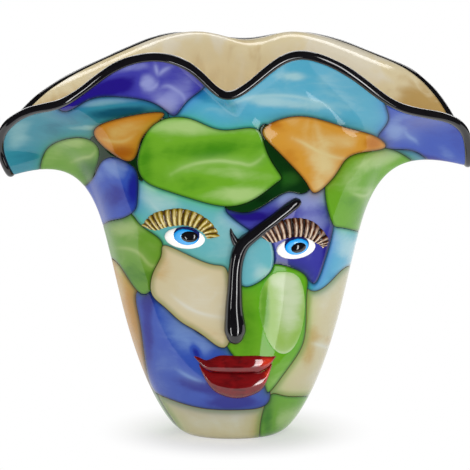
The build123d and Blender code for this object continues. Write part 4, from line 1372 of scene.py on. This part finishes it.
def side_fields(places, shards):
    """For each shard of one side: its region field and the values its points carry."""
    outlines = {
        name: around(np.array(shares) * [HALF_WIDTH, HEIGHT], len(shares) * OUTLINE_STEPS)
        for name, shares in shards.items()
    }
    depths = {name: boxed_depth(places, outline) for name, outline in outlines.items()}
    draw = np.random.default_rng(HIDDEN_SEED)
    fields = {}
    over = []
    for name in shards:
        field = depths[name].copy()
        seam = np.full(len(places), EDGE_REACH) if name in MELTED_IN else depths[name].copy()
        tint = np.ones((len(places), 3))
        for other in over:
            field = np.minimum(field, -depths[other])
            if other not in MELTED_IN:
                seam = np.minimum(seam, -depths[other])
            tone = MELTS[melt_of(other)][1]
            tint = filtered(
                tint, tone, VEIL_PALENESS, VEIL_STRENGTH, -depths[other], VEIL_REACH
            )
        tone = MELTS[melt_of(name)][0]
        tint = filtered(tint, tone, RIM_PALENESS, RIM_STRENGTH, depths[name], RIM_REACH)
        over.append(name)
        # Listed patches: the melt's own tone with painted highlights and painted shade
        glows = TONE_AND_LIGHT_PATCHES.get(name) or random_glows(draw, outlines[name])
        # Painted highlights along the shard's creases
        creases = crease_highlight_at(places, CREASE_HIGHLIGHTS.get(name, ()))
        values = np.column_stack([seam, tone_and_light_at(places, glows), creases, tint])
        fields[name] = (field, values)
    return fields


def shard_pieces():
    """The points, faces and point values of every shard."""
    points, normals = vase_skin(SKIN_ROWS, SKIN_COLUMNS)
    flat = points.reshape(-1, 3)
    places = sight_places(flat)
    front = flat[:, 1] < 0
    sides = ((front, FRONT_SHARDS), (~front, BACK_SHARDS))
    found = [(mask, side_fields(places[mask], shards)) for mask, shards in sides]
    shapes = {}
    for name in dict.fromkeys([*FRONT_SHARDS, *BACK_SHARDS]):
        field = -np.abs(flat[:, 1])
        values = np.zeros((len(flat), 6))
        values[:, 3:] = 1
        both = all(name in fields for _, fields in found)
        for mask, fields in found:
            if name in fields:
                middle_line = np.inf if both else np.abs(flat[mask, 1]) + SIDE_LAP
                field[mask] = np.minimum(fields[name][0], middle_line)
                values[mask] = fields[name][1]
                values[mask, 0] = np.minimum(values[mask, 0], middle_line)
        data = np.concatenate([flat, normals.reshape(-1, 3), values], 1)
        shapes[name] = clip_cells(field.reshape(points.shape[:2]), data)
    return shapes


def walled(data, faces, cuts, seam_depth):
    """A shard's skin, dipping at its seams, with walls round its edge into the glass."""
    skin, normals, seam = data[:, :3], data[:, 3:6], data[:, 6]
    dip = seam_depth * (1 - smooth(seam, 0.0, SEAM_ROUNDING))
    top = skin - normals * dip[:, None]
    edge = sorted({k for pair in cuts for k in pair})
    lower = {k: len(top) + n for n, k in enumerate(edge)}
    deep = skin[edge] - normals[edge] * (SHARD_THICKNESS - SHARD_LAP)
    walls = [(b, a, lower[a], lower[b]) for a, b in cuts]
    return np.concatenate([top, deep]), [*faces, *walls], edge


def rim_fold(points):
    """Where the wall lies in a valley of the rim, from 0 to 1, and on a wave, down to -1."""
    height = points[..., 2]
    window = points.shape[1] // FOLD_PARTS
    padded = np.concatenate([height[:, -window:], height, height[:, :window]], 1)
    kernel = np.ones(2 * window + 1) / (2 * window + 1)
    level = np.array([np.convolve(row, kernel, "valid") for row in padded])
    return np.clip((level - height) / FOLD_DEPTH, -1, 1)


class VASE_OT_lining(bpy.types.Operator):
    """Builds the opal lining: the inner wall, the thick foot and the strip under the lip bead"""

    bl_idname = "vase.build_lining"
    bl_label = "Opal lining"

    def execute(self, context):
        colours = context.scene.vase_colours
        outer = sunk(*vase_skin(LINING_ROWS_OUTSIDE, LINING_COLUMNS), SHARD_THICKNESS + SHARD_LAP)
        inner = sunk(*vase_skin(LINING_ROWS_INSIDE, LINING_COLUMNS, FLOOR_RING), WALL_THICKNESS)
        rim = [outer[-1] * (1 - t) + inner[-1] * t for t in LINING_RIM]
        grid = np.array([*outer, *rim, *inner[::-1]])
        rows, columns = grid.shape[:2]
        points = np.concatenate([grid.reshape(-1, 3), [outer[0].mean(0)], [inner[0].mean(0)]])
        faces = grid_faces(rows, columns)
        faces += end_fans(rows, columns, len(points) - 2, len(points) - 1)
        # Painted shade in the rim's valleys and painted light on its waves
        fold = np.concatenate([rim_fold(grid).ravel(), [0, 0]])
        piece = make_mesh("glass_lining", points, faces, {"fold": fold})
        glass = opal_lining_glass(colours.opal, colours.ochre)
        set_in_place(piece, glass, "opal_cream_glass", "opal_lining")
        return {"FINISHED"}


class VASE_OT_shards(bpy.types.Operator):
    """Builds the coloured shards that clad the vase, each a thin plate of its own melt"""

    bl_idname = "vase.build_shards"
    bl_label = "Coloured shards"

    def execute(self, context):
        sizes, colours = context.scene.vase_sizes, context.scene.vase_colours
        glass = {
            melt: cased_shard_glass(melt, getattr(colours, melt), sizes.seam_width / MM)
            for melt in MELTS
        }
        for name, (data, faces, cuts) in shard_pieces().items():
            points, faces, edge = walled(data, faces, cuts, sizes.seam_depth / MM)
            values = np.concatenate([data[:, 6:], data[edge, 6:]])
            # Glow: the melt's own tone with painted highlights and painted shade. Crease: painted
            # highlights.
            marks = {
                "seam": np.clip(values[:, 0], 0, None),
                "glow": values[:, 1],
                "crease": values[:, 2],
                "tint": values[:, 3:6],
            }
            piece = make_mesh("glass_" + name, points, faces, marks)
            melt = melt_of(name)
            slot = SLOT_OF_MELT.get(melt, melt) + "_glass"
            set_in_place(piece, glass[melt], slot, "shard_" + name)
        return {"FINISHED"}


def tube(middles, ways, radii, normals, sides):
    """The rings of a round cane along middles, with the normals as its upper side."""
    across = unit(np.cross(normals, ways))
    rise = unit(np.cross(ways, across))
    angle = 2 * np.pi * np.arange(sides) / sides
    c, s = np.cos(angle)[None, :, None], np.sin(angle)[None, :, None]
    spread = across[:, None, :] * c + rise[:, None, :] * s
    return middles[:, None, :] + spread * radii[:, None, None]


class VASE_OT_bead(bpy.types.Operator):
    """Builds the black lip bead, a thread laid once round the waving rim"""

    bl_idname = "vase.build_bead"
    bl_label = "Lip bead"

    def execute(self, context):
        radius = context.scene.vase_sizes.bead_radius / MM
        points, normals = vase_skin(BEAD_ROWS, BEAD_STEPS)
        edge, normal = points[-1], normals[-1]
        up = unit(points[-1] - points[-3])
        up = unit(up - normal * (up * normal).sum(1, keepdims=True))
        way = np.roll(edge, -1, 0) - np.roll(edge, 1, 0)
        sink = np.sqrt(max(radius**2 - (WALL_THICKNESS / 2) ** 2, 0.0))
        middles = edge - normal * WALL_THICKNESS / 2 + up * sink
        turn = 2 * np.pi * np.arange(len(edge)) / len(edge)
        hand = sum(size * np.sin(turn * number + start) for size, number, start in BEAD_WAVES)
        rings = tube(middles, way, radius * (BEAD_MEAN + hand), up, BEAD_SIDES)
        points = rings.reshape(-1, 3)
        faces = grid_faces(len(rings) + 1, BEAD_SIDES)
        faces = [tuple(k % len(points) for k in face) for face in faces]
        piece = make_mesh("glass_lip_bead", points, faces)
        glass = hot_laid_black_glass(context.scene.vase_colours.black)
        set_in_place(piece, glass, "black_glass", "lip_bead")
        return {"FINISHED"}


def capped_cane(stations, seat, radius, count):
    """A cane laid along stations of the face, as points and faces, with both its ends closed."""
    table = np.array(stations) * [HALF_WIDTH, HEIGHT, radius]
    knots = np.concatenate([[0], np.cumsum(np.linalg.norm(np.diff(table[:, :2], axis=0), axis=1))])
    run = np.linspace(0, knots[-1], count)
    soft = along(knots, table, run)
    soft[:, 2] = (np.interp(run, knots, table[:, 2]) + soft[:, 2]) / 2
    seats = [seat.at(x, z) for x, z in soft[:, :2]]
    normals = unit(np.array([n for _, n in seats]))
    middles = np.array([p for p, _ in seats]) + normals * (soft[:, 2:] * CANE_LIFT)
    radii = np.clip(soft[:, 2], CANE_LEAST_RADIUS, None)
    rings = tube(middles, np.gradient(middles, axis=0), radii, normals, CANE_SIDES)
    points = np.concatenate([rings.reshape(-1, 3), [middles[0]], [middles[-1]]])
    faces = grid_faces(count, CANE_SIDES)
    return points, faces + end_fans(count, CANE_SIDES, len(points) - 2, len(points) - 1)


class VASE_OT_trail(bpy.types.Operator):
    """Builds the black trail: the nose, the brow that it runs on into, and its small spur"""

    bl_idname = "vase.build_trail"
    bl_label = "Nose and brow trail"

    def execute(self, context):
        seat = face_seat()
        radius = context.scene.vase_sizes.nose_radius / MM
        points, faces = capped_cane(NOSE_STATIONS, seat, radius, NOSE_STEPS)
        more, others = capped_cane(SPUR_STATIONS, seat, radius, SPUR_STEPS)
        faces += [tuple(k + len(points) for k in face) for face in others]
        piece = make_mesh("glass_nose_and_brow", np.concatenate([points, more]), faces)
        glass = hot_laid_black_glass(context.scene.vase_colours.black)
        set_in_place(piece, glass, "black_glass", "nose_and_brow_trail")
        return {"FINISHED"}


def laid_band(edges, seat, height_at, mark_at, steps, rows):
    """A band of glass laid on the face between two edges: its points, faces and marks. Both
    functions take the place along it and across it, from 0 to 1. They give how far it stands out,
    and what its glass is marked with."""
    knots, run = np.linspace(0, 1, len(edges[0])), np.linspace(0, 1, steps)
    upper, lower = (along(knots, np.array(edge) * [HALF_WIDTH, HEIGHT], run) for edge in edges)
    points, marks = [], []
    for i in range(steps):
        for s in eased(rows):
            point, normal = seat.at(*(upper[i] * (1 - s) + lower[i] * s))
            points.append(point + normal * (height_at(i / (steps - 1), s) - BAND_SINK))
            marks.append(mark_at(run[i], s))
    return points, grid_faces(steps, rows, closed=False), marks


class VASE_OT_combs(bpy.types.Operator):
    """Builds the two lash combs, bands of amber glass pressed into ribs"""

    bl_idname = "vase.build_combs"
    bl_label = "Lash combs"

    def execute(self, context):
        seat = face_seat()
        rise = context.scene.vase_sizes.comb_rise / MM
        for side, (seed, tones, slot) in COMBS.items():
            draw = np.random.default_rng(seed)
            heights = draw.uniform(*RIB_HEIGHTS, LASH_RIBS + 2)
            shifts = draw.uniform(*RIB_SHIFTS, LASH_RIBS + 2)

            def rib_at(t, s):
                """How near a place is to a rib's crown, and how tall that rib is."""
                run = t * LASH_RIBS + (s - 0.5) * LASH_SLANT * (t - LASH_UPRIGHT)
                n = int(np.clip(np.floor(run), 0, LASH_RIBS))
                off = run - n - 0.5 + shifts[n]
                return np.clip(np.cos(np.pi * off), 0, 1) ** RIB_BLUNTNESS, heights[n]

            def height_at(t, s):
                crown, tall = rib_at(t, s)
                fullness = swelling(t, *COMB_SWELL) * swelling(s, *COMB_DOME)
                return rise * fullness * tall * (RIB_FURROW + (1 - RIB_FURROW) * crown)

            # Painted highlight along each crown, stronger towards the lower edge, and painted shade
            # in the furrows
            def mark_at(t, s):
                return rib_at(t, s)[0] ** LASH_STROKE * (LASH_TOP_TONE + (1 - LASH_TOP_TONE) * s)

            edges = BANDS[side + "_lash_comb"]
            points, faces, rib = laid_band(
                edges, seat, height_at, mark_at, LASH_STEPS, LASH_ROWS
            )
            piece = make_mesh("glass_" + side + "_comb", points, faces, {"rib": rib})
            glass = combed_glass("pressed_" + slot, [linear(tone) for tone in tones])
            set_in_place(piece, glass, slot, side + "_lash_comb")
        return {"FINISHED"}


def laid_dome(seat, place, half_wide, half_high, rise):
    """A flattened bead pressed on to the face, and how far out from its middle each point is."""
    point, normal = seat.at(place[0] * HALF_WIDTH, place[1] * HEIGHT)
    side = unit(np.array([1.0, 0, 0]) - normal * normal[0])
    up = np.cross(normal, side)
    points, out = [point + normal * rise], [0.0]
    for r in range(1, DOME_RINGS + 1):
        angle = r / DOME_RINGS * np.pi / 2
        for k in range(DOME_SIDES):
            turn = 2 * np.pi * k / DOME_SIDES
            flat = side * np.cos(turn) * half_wide + up * np.sin(turn) * half_high
            points.append(point + flat * np.sin(angle) + normal * rise * np.cos(angle))
            out.append(np.sin(angle))
    for k in range(DOME_SIDES):
        points.append(points[1 + (DOME_RINGS - 1) * DOME_SIDES + k] - normal * BEAD_SINK)
        out.append(1.0)
    faces = [(0, 1 + k, 1 + (k + 1) % DOME_SIDES) for k in range(DOME_SIDES)]
    faces += grid_faces(DOME_RINGS + 1, DOME_SIDES, offset=1, flip=True)
    return points, faces, out


class VASE_OT_eyes(bpy.types.Operator):
    """Builds the eyes, each a white bead, a blue one on it and a black one on that"""

    bl_idname = "vase.build_eyes"
    bl_label = "Eyes"

    def execute(self, context):
        seat = face_seat()
        colours = context.scene.vase_colours
        half = context.scene.vase_sizes.eye_width / MM / 2
        glasses = {
            "white": pressed_white_glass(colours.white),
            "iris": pressed_iris_glass(colours.iris, colours.iris_rim),
            "pupil": hot_laid_black_glass(colours.black),
        }
        for side, places in EYES.items():
            for (part, (wide, high, rise, slot)), place in zip(EYE_BEADS.items(), places):
                points, faces, out = laid_dome(seat, place, half * wide, half * high, rise)
                piece = make_mesh("glass_" + side + "_" + part, points, faces, {"out": out})
                set_in_place(piece, glasses[part], slot, side + "_eye_" + part)
        return {"FINISHED"}


class VASE_OT_lips(bpy.types.Operator):
    """Builds the upper and the lower lip, two swelling bands of tooled ruby glass"""

    bl_idname = "vase.build_lips"
    bl_label = "Lips"

    def execute(self, context):
        seat = face_seat()
        sizes, colours = context.scene.vase_sizes, context.scene.vase_colours
        glass = tooled_ruby_glass(colours.ruby, linear(RUBY_BRIGHT), linear(RUBY_DARK))
        rises = {"upper_lip": sizes.upper_lip_rise, "lower_lip": sizes.lower_lip_rise}
        for name, rise in rises.items():
            upper, lower = BANDS[name]
            if name == "lower_lip":
                upper = [(x, z + LIP_JOIN) for x, z in upper]

            def height_at(t, s):
                return rise / MM * swelling(t, *LIP_SWELL) * swelling(s, *LIP_DOME)

            def mark_at(t, s):
                off = sum(
                    ((place - middle) / reach) ** 2
                    for place, (middle, reach) in ((t, LIP_GLOW_ALONG), (s, LIP_GLOW_ACROSS))
                )
                shade = LIP_SHADE if name == "upper_lip" and s > LIP_SHADE_FROM else 0
                return LIP_TONE + LIP_GLOW * np.exp(-off) - shade

            points, faces, warm = laid_band(
                (upper, lower), seat, height_at, mark_at, LIP_STEPS, LIP_ROWS
            )
            piece = make_mesh("glass_" + name, points, faces, {"warm": warm})
            set_in_place(piece, glass, "red_glass", name)
        return {"FINISHED"}


# ---- the stage ----


def softbox(name, place, aim, size, power, shown_in_gloss):
    """A rectangular lamp, in metres and watts, that looks at a point of the vase."""
    lamp = bpy.data.lights.new(name, "AREA")
    lamp.shape = "RECTANGLE"
    lamp.size, lamp.size_y = size
    lamp.energy = power
    holder = bpy.data.objects.new(name, lamp)
    holder.location = place
    holder.rotation_euler = (Vector(aim) - Vector(place)).to_track_quat("-Z", "Y").to_euler()
    holder.visible_glossy = shown_in_gloss
    bpy.context.scene.collection.objects.link(holder)
    return holder


def paper_floor(colour):
    """Matt white paper. It keeps the vase's soft shade round the foot. Farther out it is plain
    white to the eye, in gloss and through glass, and still lights the vase as paper does."""
    material = bpy.data.materials.new("matt_white_paper")
    material.use_nodes = True
    tree = material.node_tree
    tree.nodes.clear()
    place = add_node(tree, "ShaderNodeTexCoord").outputs["Object"]
    away = add_node(tree, "ShaderNodeVectorMath", {0: place}, operation="LENGTH")
    ray = add_node(tree, "ShaderNodeLightPath").outputs
    seen = ray["Is Camera Ray"]
    for other in ("Is Glossy Ray", "Is Transmission Ray"):
        links = {0: seen, 1: ray[other]}
        seen = add_node(tree, "ShaderNodeMath", links, operation="MAXIMUM").outputs["Value"]
    links = {
        "Value": away.outputs["Value"],
        "From Min": PAPER_SHADE_REACH[0],
        "From Max": PAPER_SHADE_REACH[1],
        "To Min": PAPER_LEAST_GLOW,
    }
    out = add_node(tree, "ShaderNodeMapRange", links, interpolation_type="SMOOTHSTEP")
    links = {0: seen, 1: out.outputs["Result"]}
    share = add_node(tree, "ShaderNodeMath", links, operation="MULTIPLY").outputs["Value"]
    paper = add_node(tree, "ShaderNodeBsdfDiffuse", {"Color": colour}).outputs["BSDF"]
    glow = add_node(tree, "ShaderNodeEmission", {"Color": (1, 1, 1)}).outputs["Emission"]
    blend = add_node(tree, "ShaderNodeMixShader", {0: share, 1: paper, 2: glow})
    add_node(tree, "ShaderNodeOutputMaterial", {"Surface": blend.outputs["Shader"]})
    return material


def studio_world():
    """Pale surroundings that light the glass softly. The eye sees them as plain white. Glass
    mirrors a white backdrop straight behind the vase and dark studio round it, so that its
    edges are drawn dark."""
    world = bpy.data.worlds.new("studio_surroundings")
    world.use_nodes = True
    tree = world.node_tree
    tree.nodes.clear()
    ray = add_node(tree, "ShaderNodeLightPath").outputs
    way = add_node(tree, "ShaderNodeTexCoord").outputs["Generated"]
    behind = add_node(tree, "ShaderNodeSeparateXYZ", {"Vector": way}).outputs["Y"]
    links = {
        "Value": behind,
        "From Min": BACKDROP_EDGE,
        "From Max": BACKDROP_FULL,
        "To Min": GLOSS_DARK,
    }
    gloss = add_node(tree, "ShaderNodeMapRange", links, interpolation_type="SMOOTHSTEP")
    links = {0: ray["Is Glossy Ray"], 2: AMBIENT_LEVEL, 3: gloss.outputs["Result"]}
    level = add_node(tree, "ShaderNodeMix", links).outputs[0]
    for other in ("Is Camera Ray", "Is Transmission Ray"):
        links = {0: level, 1: ray[other]}
        level = add_node(tree, "ShaderNodeMath", links, operation="MAXIMUM").outputs["Value"]
    shade = add_node(tree, "ShaderNodeBackground", {"Color": (1, 1, 1), "Strength": level})
    add_node(tree, "ShaderNodeOutputWorld", {"Surface": shade.outputs["Background"]})
    return world


class VASE_OT_stage(bpy.types.Operator):
    """Builds the paper floor, the lamps, the surroundings and the camera"""

    bl_idname = "vase.build_stage"
    bl_label = "Stage"

    def execute(self, context):
        scene = context.scene
        scene.world = studio_world()
        mesh = bpy.data.meshes.new("paper_floor")
        (left, near), (right, far) = PAPER
        corners = [(left, near, 0), (right, near, 0), (right, far, 0), (left, far, 0)]
        mesh.from_pydata(corners, [], [(0, 1, 2, 3)])
        floor = bpy.data.objects.new("paper_floor", mesh)
        floor.data.materials.append(paper_floor(scene.vase_colours.floor))
        scene.collection.objects.link(floor)
        lamps = [softbox(*lamp) for lamp in LAMPS]
        trims = bpy.data.collections.new("hot_laid_trims")
        for thing in scene.objects:
            if thing.name.startswith(TRIM_NAMES):
                trims.objects.link(thing)
        for lamp in lamps:
            if lamp.name in TRIM_LAMPS:
                lamp.light_linking.receiver_collection = trims

        eye = bpy.data.cameras.new("camera")
        eye.sensor_width = SENSOR_WIDTH
        eye.lens = SENSOR_WIDTH / (FRAME_WIDTH / EYE_DISTANCE)
        camera = bpy.data.objects.new("camera", eye)
        tilt = np.radians(EYE_ELEVATION)
        aim = Vector(EYE_AIM)
        camera.location = aim + Vector((0, -np.cos(tilt), np.sin(tilt))) * EYE_DISTANCE
        camera.rotation_euler = (aim - camera.location).to_track_quat("-Z", "Y").to_euler()
        scene.collection.objects.link(camera)
        scene.camera = camera
        scene.view_settings.view_transform = "Standard"
        return {"FINISHED"}


OPERATORS = (
    VASE_OT_lining, VASE_OT_shards, VASE_OT_bead, VASE_OT_trail,
    VASE_OT_combs, VASE_OT_eyes, VASE_OT_lips, VASE_OT_stage,
)


class VASE_PT_panel(bpy.types.Panel):
    """Lists the vase's sizes, its colours and the steps that build it"""

    bl_idname = "VASE_PT_panel"
    bl_label = "Face vase"
    bl_space_type = "VIEW_3D"
    bl_region_type = "UI"
    bl_category = "Vase"

    def draw(self, context):
        for group in (context.scene.vase_sizes, context.scene.vase_colours):
            for name in group.bl_rna.properties.keys():
                if name not in ("rna_type", "name"):
                    self.layout.prop(group, name)
        for operator in OPERATORS:
            self.layout.operator(operator.bl_idname)


CLASSES = (VaseSizes, VaseColours, *OPERATORS, VASE_PT_panel)


def register():
    """Registers the classes and hangs the settings on the scene."""
    for kind in CLASSES:
        bpy.utils.register_class(kind)
    bpy.types.Scene.vase_sizes = bpy.props.PointerProperty(type=VaseSizes)
    bpy.types.Scene.vase_colours = bpy.props.PointerProperty(type=VaseColours)


def unregister():
    """Takes the settings and the classes away again."""
    del bpy.types.Scene.vase_sizes
    del bpy.types.Scene.vase_colours
    for kind in reversed(CLASSES):
        bpy.utils.unregister_class(kind)


def main():
    """Builds the vase and its stage."""
    register()
    bpy.ops.vase.build_lining()
    bpy.ops.vase.build_shards()
    bpy.ops.vase.build_bead()
    bpy.ops.vase.build_trail()
    bpy.ops.vase.build_combs()
    bpy.ops.vase.build_eyes()
    bpy.ops.vase.build_lips()
    bpy.ops.vase.build_stage()


if __name__ == "__main__":
    main()
